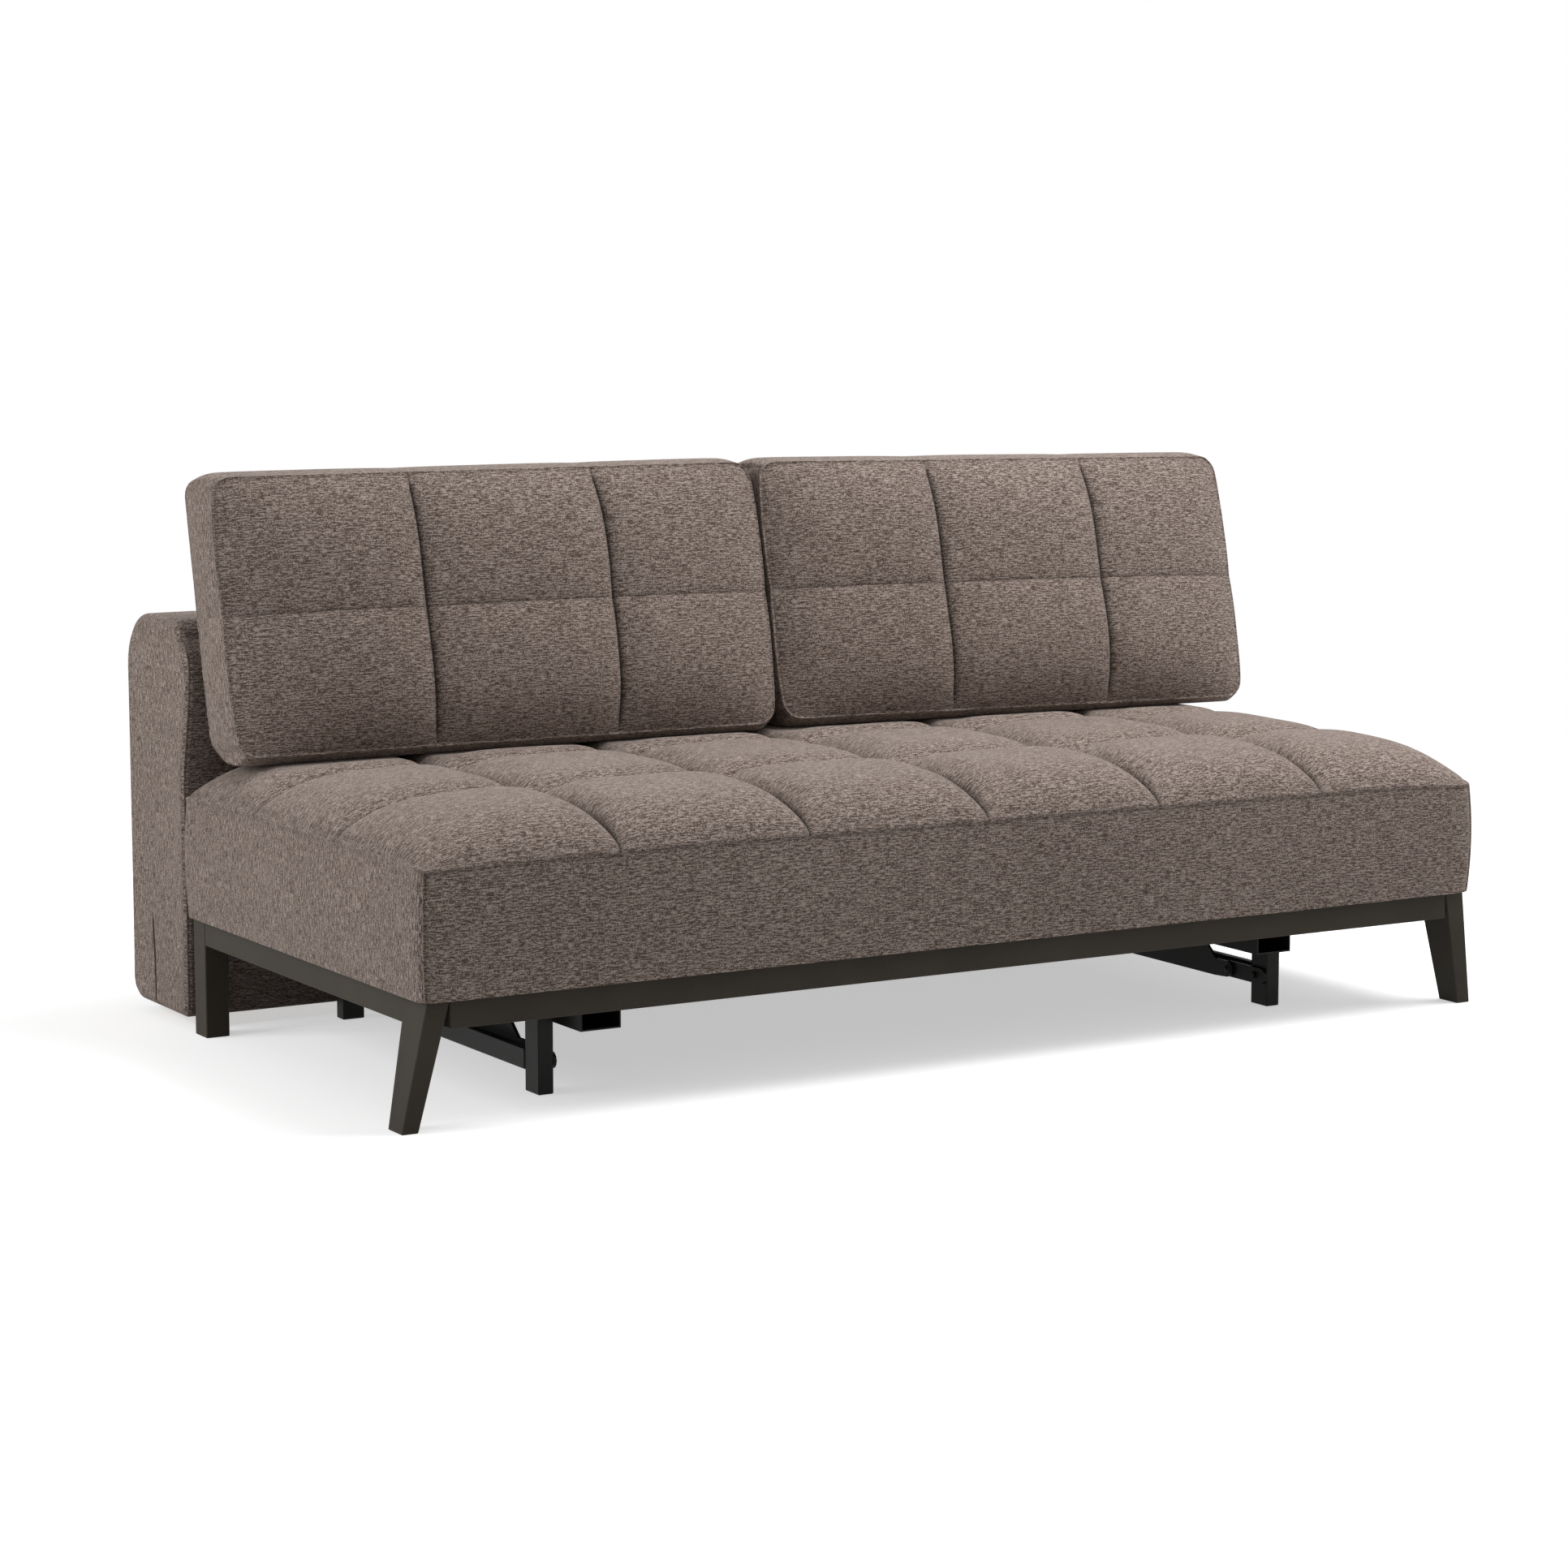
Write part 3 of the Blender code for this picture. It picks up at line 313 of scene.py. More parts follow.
def add_bump(tree, shader, height, strength, relief):
    """Let a height value tilt the shader's surface, with a relief in metres."""
    bump = add_node(tree, "Bump", Strength=strength, Distance=relief)
    tree.links.new(height, bump.inputs["Height"])
    tree.links.new(bump.outputs["Normal"], shader.inputs["Normal"])


print("yarn roughness:", YARN_ROUGHNESS)

# %% Cover cloth
CLOTH_MAP = "cloth"
CLOTH_DARK = (0.070, 0.047, 0.038, 1.0)
CLOTH_MIDDLE = (0.184, 0.138, 0.115, 1.0)
CLOTH_PALE = (0.366, 0.308, 0.270, 1.0)
CLOTH_STEPS = ((0.25, CLOTH_DARK), (0.50, CLOTH_MIDDLE), (0.76, CLOTH_PALE))
CLOTH_SHIFT = -1.64
# Painted shade: the colour the cloth is multiplied towards in the bottoms of creases and seam
# dips.
PAINTED_CREASE_SHADE = (0.12, 0.11, 0.10, 1.0)
SHEEN_TINT = (0.80, 0.73, 0.68, 1.0)
MIX_COLOUR_A = 6
MIX_COLOUR_B = 7
MIX_COLOUR_RESULT = 2


def cover_cloth():
    material, tree, shader = new_material("cover_cloth")
    layout = add_node(tree, "UVMap", uv_map=CLOTH_MAP).outputs["UV"]
    grain = yarn_noise(tree, layout, along=370.0, across=460.0)
    weft = yarn_noise(tree, layout, along=95.0, across=520.0)
    warp = yarn_noise(tree, layout, along=430.0, across=190.0)
    slub = yarn_noise(tree, layout, along=24.0, across=460.0, detail=1.0)
    heather = yarn_noise(tree, layout, along=30.0, across=60.0, detail=4.0)
    drift = yarn_noise(tree, layout, along=2.2, across=3.5)
    mix = weighted(tree, ((grain, 1.18), (weft, 1.56), (warp, 0.52), (slub, 0.72),
                          (heather, 0.18), (drift, 0.10)), shift=CLOTH_SHIFT)
    # Painted shade: the crease attribute darkens the cloth's colour in sewn lines and beside
    # seams.
    crease = add_node(tree, "Attribute", attribute_name="crease").outputs["Fac"]
    shade = add_node(tree, "Mix", data_type="RGBA", blend_type="MULTIPLY")
    tree.links.new(crease, shade.inputs["Factor"])
    tree.links.new(colour_steps(tree, mix, CLOTH_STEPS), shade.inputs[MIX_COLOUR_A])
    shade.inputs[MIX_COLOUR_B].default_value = PAINTED_CREASE_SHADE
    tree.links.new(shade.outputs[MIX_COLOUR_RESULT], shader.inputs["Base Color"])
    set_values(shader, Roughness=0.92, Specular_IOR_Level=0.25, Sheen_Weight=0.22,
               Sheen_Roughness=0.45, Sheen_Tint=SHEEN_TINT)
    height = weighted(tree, ((weft, 0.9), (grain, 0.6), (warp, 0.6), (slub, 0.6)))
    add_bump(tree, shader, height, strength=0.6, relief=0.0008)
    return material


cloth = cover_cloth()
print("cloth colours from", CLOTH_DARK[:3], "to", CLOTH_PALE[:3])

# %% [markdown]
# ## A sewn block
# A seat pad or cushion is two panels joined by a band. It could be sewn from flat panels and
# filled in a cloth simulation. A shaped block is used instead, because it is quick to build
# and comes out the same each time. It starts as one flat grid, which is extruded once, and
# then only its upright edges are cut into rows for the band, so the faces stay square and
# even, which padding needs. A shaping rule then moves each point from the unit block to its
# place. Each panel's cloth is laid out by lengths measured on it, so the weave keeps its
# size on slopes too.

# %% Unit block
def extrude(bm, faces, move):
    """Extrude faces by a move, and keep them, so that the new shape is closed."""
    grown = bmesh.ops.extrude_face_region(bm, geom=faces, use_keep_orig=True)["geom"]
    moved = [part for part in grown if isinstance(part, bmesh.types.BMVert)]
    bmesh.ops.translate(bm, verts=moved, vec=move)


def unit_block(steps):
    """A closed unit block of quads: two grids and a band of steps[2] rows between them."""
    bm = bmesh.new()
    bmesh.ops.create_grid(bm, x_segments=steps[0], y_segments=steps[1], size=0.5)
    extrude(bm, bm.faces[:], (0.0, 0.0, 1.0))
    uprights = [edge for edge in bm.edges
                if abs(edge.verts[0].co.z - edge.verts[1].co.z) > 0.5]
    bmesh.ops.subdivide_edges(bm, edges=uprights, cuts=steps[2] - 1, use_grid_fill=True)
    bmesh.ops.recalc_face_normals(bm, faces=bm.faces[:])
    bmesh.ops.translate(bm, verts=bm.verts[:], vec=(0.5, 0.5, 0.0))
    return bm


sample = unit_block((4, 3, 2))
print("a unit block of 4 by 3 by 2 steps has", len(sample.faces), "faces")
sample.free()

# %% Laying out the cloth
PANEL_STEP = 3.0
X, Y, Z = 0, 1, 2
LYING_LAYOUTS = {X: (Z, Y), Y: (X, Z), Z: (X, Y)}
STANDING_LAYOUTS = {X: (Y, Z), Y: (X, Z), Z: (X, Y)}


def cloth_lengths(points, steps, fixed, run, rise):
    """How far each row of a panel lies along the cloth from the middle row, on average."""
    axis, index = fixed
    travelled = [0.0] * (steps[run] + 1)
    for other in range(steps[rise] + 1):
        key = [0, 0, 0]
        key[axis] = index
        key[rise] = other
        last = None
        length = 0.0
        for along in range(steps[run] + 1):
            key[run] = along
            point = points[tuple(key)]
            if last is not None:
                length += (point - last).length
            travelled[along] += length / (steps[rise] + 1)
            last = point
    middle = travelled[len(travelled) // 2]
    return [length - middle for length in travelled]


def lay_cloth(bm, keys, steps, panels, layouts):
    """Lay each panel flat by lengths measured on it; layouts[axis] names its two directions."""
    points = {keys[vertex.index]: vertex.co.copy() for vertex in bm.verts}
    layer = bm.loops.layers.uv.new(CLOTH_MAP)
    lengths = {}
    for axis, (run, rise) in layouts.items():
        for far in (0, 1):
            fixed = (axis, far * steps[axis])
            lengths[(axis, far)] = (cloth_lengths(points, steps, fixed, run, rise),
                                    cloth_lengths(points, steps, fixed, rise, run))
    for face in bm.faces:
        axis, far = panels[face.index]
        run, rise = layouts[axis]
        across, upward = lengths[(axis, far)]
        shift = PANEL_STEP * (2 * axis + far)
        for loop in face.loops:
            key = keys[loop.vert.index]
            loop[layer].uv = (across[key[run]] + shift, upward[key[rise]])


print("panels lie", PANEL_STEP, "m apart in the cloth's layout")

# %% Sewn block
ROUNDING_LEVELS = 1


def sewn_block(name, steps, place, layouts):
    """Shape a unit block by place(a, b, c), which gives a point and the painted shade of its
    crease.
    """
    bm = unit_block(steps)
    bm.faces.ensure_lookup_table()
    bm.faces.index_update()
    bm.verts.index_update()
    panels = {}
    for face in bm.faces:
        axis = max((X, Y, Z), key=lambda k: abs(face.normal[k]))
        panels[face.index] = (axis, int(face.normal[axis] > 0))
    crease = bm.verts.layers.float.new("crease")
    keys = {}
    for vertex in bm.verts:
        keys[vertex.index] = tuple(round(vertex.co[k] * steps[k]) for k in (X, Y, Z))
        # dark is painted shade for the bottoms of creases and seam dips, kept in the crease
        # attribute.
        point, dark = place(*vertex.co)
        vertex.co = point
        vertex[crease] = dark
    lay_cloth(bm, keys, steps, panels, layouts)
    for face in bm.faces:
        face.smooth = True
    item = keep_mesh(name, bm, cloth)
    print(name, "has", len(item.data.polygons), "faces before rounding")
    return item


def finish_soft(item, cutters=()):
    """Round the mesh by subdivision, cut openings, and keep the result as the mesh."""
    rounding = item.modifiers.new("rounding", "SUBSURF")
    rounding.levels = ROUNDING_LEVELS
    rounding.render_levels = ROUNDING_LEVELS
    for cutter in cutters:
        opening = item.modifiers.new("opening", "BOOLEAN")
        opening.operation = "DIFFERENCE"
        opening.solver = "MANIFOLD"
        opening.object = cutter
    bpy.context.view_layer.update()
    ready = item.evaluated_get(bpy.context.evaluated_depsgraph_get())
    mesh = bpy.data.meshes.new_from_object(ready)
    item.modifiers.clear()
    item.data = mesh
    mesh.name = item.name
    for cutter in cutters:
        bpy.data.objects.remove(cutter, do_unlink=True)
    print(item.name, "now has", len(mesh.polygons), "faces")


print("levels of rounding:", ROUNDING_LEVELS)

# %% [markdown]
# ## Padding between sewn lines
# Wadding under a stitched cover rises in pillows between the stitch lines, and each line
# is a crease with a sharp bottom and soft shoulders. A bump in the cloth could only shade
# them, so the mesh itself takes their shape, from rules as short as a formula. The rows of
# the mesh are bunched close to every line, so that the crease is crisp and the pillow is
# smooth. Where two panels meet, the folded edges inside the seam lift the cloth into a thin
# ridge with a dip beside it.

# %% Rows and pillows
LINE_BUNCHING = 0.94
BAND_BUNCHING = 0.92
PILLOW_POWER = 5
FAR_AWAY = 1.0
TINY = 1e-6


def even_breaks(low, high, count):
    return [low + (high - low) * k / count for k in range(count + 1)]


def bunched(share, power=BAND_BUNCHING):
    """A share of a span, moved towards the nearer end, so that rows bunch at both ends."""
    return share - power * math.sin(2 * math.pi * share) / (2 * math.pi)


def in_cell(share, breaks):
    """The place of a share of a panel, its share of its cell, and its line's distance."""
    cells = len(breaks) - 1
    cell = min(int(share * cells + 1e-4), cells - 1)
    part = bunched(share * cells - cell, LINE_BUNCHING)
    width = breaks[cell + 1] - breaks[cell]
    outer = (cell == 0 and part < 0.5) or (cell == cells - 1 and part > 0.5)
    from_line = FAR_AWAY if outer else min(part, 1 - part) * width
    return breaks[cell] + part * width, 2 * part - 1, from_line


def fade(position, low, high, power):
    """1 over the middle of a span and 0 at its ends."""
    return 1 - abs(2 * (position - low) / (high - low) - 1) ** power


def rolled(position, low, high, power):
    """As fade, but it rolls over to stand upright at the ends."""
    return math.sqrt(max(fade(position, low, high, power), 0.0))


def pillow(u, v):
    return (1 - abs(u) ** PILLOW_POWER) * (1 - abs(v) ** PILLOW_POWER)


def line_lift(u, v):
    """A channel rises between its crossings, where both lines of stitches pull it down."""
    return (1 - v ** 2) * u ** 2 + (1 - u ** 2) * v ** 2


print("half way to its edge, a pillow still has", pillow(0.5, 0.0), "of its height")

# %% Creases and seams
LINE_SHARP_WIDTH = 0.0026
LINE_SOFT_WIDTH = 0.013
RIDGE_HEIGHT = 0.0018
RIDGE_WIDTH = 0.0018
DIP_DEPTH = 0.0014
DIP_PLACE = 0.0042
DIP_WIDTH = 0.0022


def sharp(distance, width):
    return math.exp(-distance / width)


def bell(distance, width):
    return math.exp(-(distance / width) ** 2)


def line_dip(distance, depths):
    """How deep a sewn line's crease is beside the line, from its sharp and its soft depth."""
    return (depths[0] * sharp(distance, LINE_SHARP_WIDTH)
            + depths[1] * sharp(distance, LINE_SOFT_WIDTH))


def seam_shade(distance):
    return bell(distance - DIP_PLACE, DIP_WIDTH)


def seam_ridge(distance):
    """The ridge along a seam between two panels, and the dip beside it."""
    return RIDGE_HEIGHT * bell(distance, RIDGE_WIDTH) - DIP_DEPTH * seam_shade(distance)


print("a seam's ridge is", 1000 * RIDGE_HEIGHT, "mm high")

# %% Unevenness and round corners
def unevenness(point, waves):
    """A slow hand-made unevenness at a point, from waves of (size, number to the metre)."""
    return sum(size * noise.noise(Vector(point) * number) for size, number in waves)


def ease(position, low, high):
    """0 before low, 1 after high, and smooth in between."""
    share = min(max((position - low) / (high - low), 0.0), 1.0)
    return share * share * (3 - 2 * share)


def round_plan(x, y, half_x, half_y, radius):
    """Move a point of a rectangle so that the rectangle's corners are arcs of the radius."""
    out_x = abs(x) - (half_x - radius)
    out_y = abs(y) - (half_y - radius)
    if out_x <= 0 or out_y <= 0:
        return x, y
    shrink = max(out_x, out_y) / math.hypot(out_x, out_y)
    return (math.copysign(half_x - radius + out_x * shrink, x),
            math.copysign(half_y - radius + out_y * shrink, y))


print("half way between its limits, ease gives", ease(0.5, 0.0, 1.0))

# %% [markdown]
# ## The seat
# The seat is one upholstered block, six pillows long and three deep. Its top panel is
# sewn down along the lines between the pillows and joined to the upright bands by a seam
# all round. The top is crowned: it rises steeply from the seam and is nearly level inside.
# The loose cushions press its last row flat, a little lower at the right-hand end. It could
# be sculpted, but a rule puts each crease just where the stitches run.

# %% Seat sizes
SEAT_COLUMNS = 6
SEAT_ROWS = 3
SEAT_CELL_STEPS = 22
SEAT_STEPS = (SEAT_COLUMNS * SEAT_CELL_STEPS, SEAT_ROWS * SEAT_CELL_STEPS, 18)
SEAT_SEAM_HEIGHT = 0.396
SEAT_SEAM_FALL = 0.005
SEAT_SEAM_RISE = 0.008
REST_HEIGHT = 0.4714
REST_FALL = 0.0052
REST_SAG = 0.004

seat_low, seat_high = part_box("seat_cover")
seat_half = seat_high.x
seat_middle_y = (seat_low.y + seat_high.y) / 2
seat_half_depth = (seat_high.y - seat_low.y) / 2
seat_columns = even_breaks(-seat_half, seat_half, SEAT_COLUMNS)
seat_rows = even_breaks(seat_low.y, seat_high.y, SEAT_ROWS)
front_of_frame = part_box("front_rail")[0].y


def rest_height(x):
    """The height to which the loose cushions press the seat."""
    return REST_HEIGHT - REST_FALL * x - REST_SAG * x ** 2


def seat_seam_height(x, y):
    """The height of the seam round the top, which dips at the corners and to the right."""
    to_end = abs(x / seat_half) ** 4
    to_edge = abs((y - seat_middle_y) / seat_half_depth) ** 4
    level = SEAT_SEAM_HEIGHT - SEAT_SEAM_FALL * x
    return level + SEAT_SEAM_RISE * (1 - to_end * to_edge)


print("the seat is", round(2 * seat_half, 3), "m long, and the cushions rest at",
      rest_height(0.0), "m")

# %% Seat shape
SEAT_CROWN = 0.051
SEAT_PILLOW = 0.030
SEAT_LINE_LIFT = 0.005
SEAT_LINE_DIP = (0.005, 0.012)
SEAT_EDGE_DIP = 0.1
SEAT_END_ROUNDING = 16
SEAT_END_FALL = 0.12
SEAT_EDGE_ROUNDING = 7
SEAT_CORNER_RADIUS = 0.030
SEAT_DRAW = 0.004
SEAT_FOOT = 0.05
SEAT_RISING_WAVES = ((0.0022, 6.0), (0.0010, 19.0))
SEAT_LEANING_WAVES = ((0.0015, 4.5),)
PRESSED_FROM = 0.650
PRESSED_FULLY = 0.692
CLEAR_GAP = 0.0003
# Painted shade in the bottoms of the stitch lines and in the dips beside the seams.
LINE_SHADE = 0.95
SEAM_SHADE = 0.18


def seat_place(a, b, c):
    """The shaping rule of the seat."""
    x, u, off_x = in_cell(a, seat_columns)
    y, v, off_y = in_cell(b, seat_rows)
    seam = seat_seam_height(x, y)
    edge_x = seat_half - abs(x)
    edge_y = seat_half_depth - abs(y - seat_middle_y)
    on_top = c > 1 - TINY
    above_foot = c > SEAT_FOOT
    if on_top:
        crown = 1 - SEAT_END_FALL * (x / seat_half) ** 4
        crown *= rolled(x, -seat_half, seat_half, SEAT_END_ROUNDING)
        crown *= rolled(y, seat_low.y, seat_high.y, SEAT_EDGE_ROUNDING)
        z = seam + (SEAT_CROWN + SEAT_LINE_LIFT * line_lift(u, v)
                    + SEAT_PILLOW * pillow(u, v)) * crown
        off_line = min(off_x, off_y)
        z -= line_dip(off_line, SEAT_LINE_DIP) * min(1.0, crown + SEAT_EDGE_DIP)
        off_seam = min(edge_x, edge_y)
        z += seam_ridge(off_seam)
        dark = max(LINE_SHADE * sharp(off_line, LINE_SHARP_WIDTH),
                   SEAM_SHADE * seam_shade(off_seam))
    else:
        z = seat_low.z + bunched(c) * (seam - seat_low.z)
        off_seam = min(seam - z, max(edge_x, edge_y))
        dark = SEAM_SHADE * seam_shade(off_seam)
    share = (z - seat_low.z) / (seam - seat_low.z)
    ridge = seam_ridge(off_seam if above_foot else FAR_AWAY)
    draw = SEAT_DRAW * (2 * min(share, 1.0) - 1) ** 2 - ridge
    x, off_middle = round_plan(x, y - seat_middle_y, seat_half, seat_half_depth,
                               SEAT_CORNER_RADIUS)
    x *= 1 - draw / seat_half
    y = seat_middle_y + off_middle * (1 - draw / seat_half_depth)
    point = Vector((x, y, z))
    if above_foot:
        point.z += unevenness(point, SEAT_RISING_WAVES)
        point.y += unevenness(point, SEAT_LEANING_WAVES)
    if on_top:
        flat = min(point.z, rest_height(point.x) - CLEAR_GAP)
        under = ease(point.y - front_of_frame, PRESSED_FROM, PRESSED_FULLY)
        point.z += (flat - point.z) * under
    return point, dark


seat = sewn_block("tufted_seat", SEAT_STEPS, seat_place, LYING_LAYOUTS)

# %% [markdown]
# ## Room inside the seat
# The solids hold a base board, boards and a block of foam inside the seat. A cover with a
# real hollow keeps clear of them, so a plain box is cut out of the block. It reaches past
# the underside, so that the cut is open there.

# %% Seat hollow
CUT_PAST = 0.030


def box_cutter(name, low, high):
    """A plain box that cuts a hollow, and is thrown away after the cut."""
    bm = bmesh.new()
    bmesh.ops.create_cube(bm, size=1.0)
    bmesh.ops.scale(bm, vec=Vector(high) - Vector(low), verts=bm.verts[:])
    bmesh.ops.translate(bm, vec=(Vector(high) + Vector(low)) / 2, verts=bm.verts[:])
    return keep_mesh(name, bm, cloth)


clear_all_round = Vector((CLEAR_GAP, CLEAR_GAP, CLEAR_GAP))
core_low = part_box("seat_base_board")[0]
core_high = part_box("seat_foam")[1]
hollow = box_cutter("seat_hollow", core_low - Vector((CLEAR_GAP, CLEAR_GAP, CUT_PAST)),
                    core_high + clear_all_round)
finish_soft(seat, [hollow])
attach(seat, "seat_unit")
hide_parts("seat_cover")

# %% [markdown]
# ## The loose cushions
# Each back cushion is a front and a back panel joined by a band, stuffed with fibre. It
# stands on the seat and leans on the back box. Two upright lines and one level line of
# stitches divide its front into six pillows. Its front bows outward, its corners are cut
# round, its sides bulge beside each pillow, and it sinks a little to the right. Both are
# made by one rule, which takes a cushion's own middle, width, height and fall.

# %% Cushion sizes
CUSHION_THICKNESS = 0.120
CUSHION_LEAN = math.radians(12.7)
CUSHION_FRONT_Y = 0.703
CUSHION_SEAM_LIFT = 0.014
CUSHION_LINES = (0.0, 0.348, 0.690, 1.0)
CUSHION_ROWS = 2
CUSHION_STEPS = (66, 44, 16)
CUSHION_BUNCHING = 0.9
CUSHION_STANDS = {"left": (-0.484, 1.016, 0.466, 0.004),
                  "right": (0.545, 0.994, 0.459, 0.018)}
print("middle, width, height and fall of the cushions:", CUSHION_STANDS)

# %% Cushion padding
CUSHION_CROWN = 0.033
CUSHION_CROWN_ROUNDING = 4
CUSHION_ROW_CROWN = 0.003
CUSHION_ROW_ROUNDING = 6
CUSHION_PILLOW = 0.012
CUSHION_LEVEL_SHARE = 0.22
CUSHION_FLAT_EDGE = 0.65
CUSHION_UPRIGHT_DIP = (0.0045, 0.0035)
CUSHION_LEVEL_DIP = (0.0012, 0.0012)
CUSHION_LINE_FADE = 0.03
# Painted shade in the bottom of a cushion's level line of stitches.
LEVEL_SHADE = 0.22


def cushion_pillow(u, v):
    """The level line holds the filling back less than the upright ones do."""
    across = 1 - u ** 4
    return CUSHION_PILLOW * across * (1 - CUSHION_LEVEL_SHARE * v ** 4)


def cushion_relief(crown, row_crown, reach, edge_gap, spot):
    """How far the front panel stands out at a spot, and how much painted shade its crease gets
    there.
    """
    u, v, off_x, off_h = spot
    inside = min(1.0, edge_gap / CUSHION_LINE_FADE)
    depth = CUSHION_CROWN * crown + seam_ridge(edge_gap)
    depth += cushion_pillow(u, v) * (1 - CUSHION_FLAT_EDGE * reach ** 6)
    depth += CUSHION_ROW_CROWN * (1 - v ** 2) * row_crown
    depth -= max(line_dip(off_x, CUSHION_UPRIGHT_DIP),
                 line_dip(off_h, CUSHION_LEVEL_DIP)) * inside
    dark = max(LINE_SHADE * sharp(off_x, LINE_SHARP_WIDTH),
               LEVEL_SHADE * sharp(off_h, LINE_SHARP_WIDTH)) * inside
    return depth, max(dark, SEAM_SHADE * seam_shade(edge_gap))


print("a cushion's pillows stand", 1000 * CUSHION_PILLOW, "mm out")

# %% Cushion shape
CUSHION_BACK_CROWN = 0.040
CUSHION_TOP_BULGE = 0.010
CUSHION_TOP_WAVE = 0.15
CUSHION_BOTTOM_SAG = 0.022
CUSHION_CORNER_RADIUS = 0.030
CUSHION_BOW = 0.009
CUSHION_BOW_WAVE = 0.3
CUSHION_SIDE_BULGE = 0.004
CUSHION_SIDE_FULLNESS = 1.1
CUSHION_BACK_SHEAR = 0.018
CUSHION_DEPTH_WAVES = ((0.0045, 4.0), (0.0013, 15.0))
CUSHION_SIDE_WAVES = ((0.0025, 4.0),)
CUSHION_SIDE_SHIFT = Vector((9.0, 0.0, 0.0))


def cushion_rule(centre_x, width, height_up, fall):
    """The shaping rule of a cushion, from its middle, its size and its fall to the right."""
    half = width / 2
    half_up = height_up / 2
    columns = [width * (line - 0.5) for line in CUSHION_LINES]
    rows = even_breaks(-half_up, half_up, CUSHION_ROWS)
    foot = Vector((centre_x, front_of_frame + CUSHION_FRONT_Y,
                   rest_height(centre_x) + CUSHION_SEAM_LIFT))
    up = Vector((0.0, math.sin(CUSHION_LEAN), math.cos(CUSHION_LEAN)))
    forward = Vector((0.0, -up.z, up.y))

    def place(a, b, c):
        x, u, off_x = in_cell(a, columns)
        height, v, off_h = in_cell(b, rows)
        depth_share = bunched(c, CUSHION_BUNCHING)
        edge = 1 - (2 * depth_share - 1) ** 2
        edge_gap = min(half - abs(x), half_up - abs(height))
        reach = height / half_up
        crown = fade(x, -half, half, CUSHION_CROWN_ROUNDING)
        crown *= fade(height, -half_up, half_up, CUSHION_CROWN_ROUNDING)
        out = 0.0
        dark = 0.0
        if c > 1 - TINY:
            row_crown = fade(x, -half, half, CUSHION_ROW_ROUNDING)
            depth, dark = cushion_relief(crown, row_crown, reach, edge_gap, (u, v, off_x, off_h))
        elif c < TINY:
            depth = -CUSHION_THICKNESS - CUSHION_BACK_CROWN * crown
        else:
            depth = -CUSHION_THICKNESS * (1 - depth_share)
            off_seam = min(-depth, CUSHION_THICKNESS + depth)
            out = seam_ridge(off_seam)
            dark = SEAM_SHADE * seam_shade(off_seam)
        px, ph = round_plan(x, height, half, half_up, CUSHION_CORNER_RADIUS)
        if abs(reach) > 1 - TINY:
            bulge = -CUSHION_BOTTOM_SAG
            if reach > 0:
                bulge = CUSHION_TOP_BULGE * (1 - CUSHION_TOP_WAVE * u ** 4)
            ph += edge * bulge + math.copysign(out, reach)
        if abs(x) > half - TINY:
            bulge = CUSHION_SIDE_BULGE * (CUSHION_SIDE_FULLNESS - v ** 4)
            px += math.copysign(bulge * edge + out, x)
        bow = CUSHION_BOW * depth_share * (1 - reach ** 4) * (1 - CUSHION_BOW_WAVE * v ** 4)
        px *= 1 + bow / half
        ph += CUSHION_BACK_SHEAR * (1 - depth_share)
        point = foot + up * (ph + half_up) + forward * depth
        point.x += px
        point.z -= fall * px
        point += forward * unevenness(point, CUSHION_DEPTH_WAVES)
        point.x += unevenness(point + CUSHION_SIDE_SHIFT, CUSHION_SIDE_WAVES)
        point.z = max(point.z, rest_height(point.x) + CLEAR_GAP)
        return point, dark

    return place


for side_name, stand in CUSHION_STANDS.items():
    piece = sewn_block("loose_cushion_" + side_name, CUSHION_STEPS, cushion_rule(*stand),
                       STANDING_LAYOUTS)
    finish_soft(piece)
    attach(piece, "cushion_" + side_name)
    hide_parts("back_cushion_" + side_name)

# %% [markdown]
# ## The back box
# Behind the cushions stands a padded box as long as the sofa, which turns over to make the
# rear half of the bed. Its front meets the seat squarely, its rear edges are softly round,
# and its front swells where the cushions lean. At each end a seam runs down the front edge,
# while the end panel turns softly into the rear. A rounded box with a bevel would be too
# even for wadding, so it is a sewn block as well.

# %% Back sizes
BACK_GAP = 0.015
BACK_STEPS = (140, 56, 22)

back_low, back_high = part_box("back_cover")
back_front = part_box("seat_cover")[1].y + BACK_GAP
back_half = back_high.x
back_middle = Vector((0.0, (back_front + back_high.y) / 2, (back_low.z + back_high.z) / 2))
back_half_y = (back_high.y - back_front) / 2
back_half_z = (back_high.z - back_low.z) / 2
print("the back box is", round(2 * back_half_z, 3), "m high")

# %% Back shape
REAR, FRONT = 0, 1
BOTTOM, TOP = 0, 1
BACK_CORNERS = {(REAR, BOTTOM): 0.032, (REAR, TOP): 0.088,
                (FRONT, BOTTOM): 0.020, (FRONT, TOP): 0.035}
BACK_SWELL = 0.030
BACK_SWELL_START = 0.440
BACK_REAR_SWELL = 0.004
BACK_END_BUNCHING = 0.93
BACK_SIDE_BUNCHING = 0.6
BACK_END_SOFTNESS = 0.011
BACK_SEAM_SOFTNESS = 0.006
BACK_SEAM_FROM = 0.9
BACK_END_PILLOW = 0.004
BACK_WAVES = ((0.0030, 4.0), (0.0008, 15.0))
BACK_SIDE_WAVE = 0.4


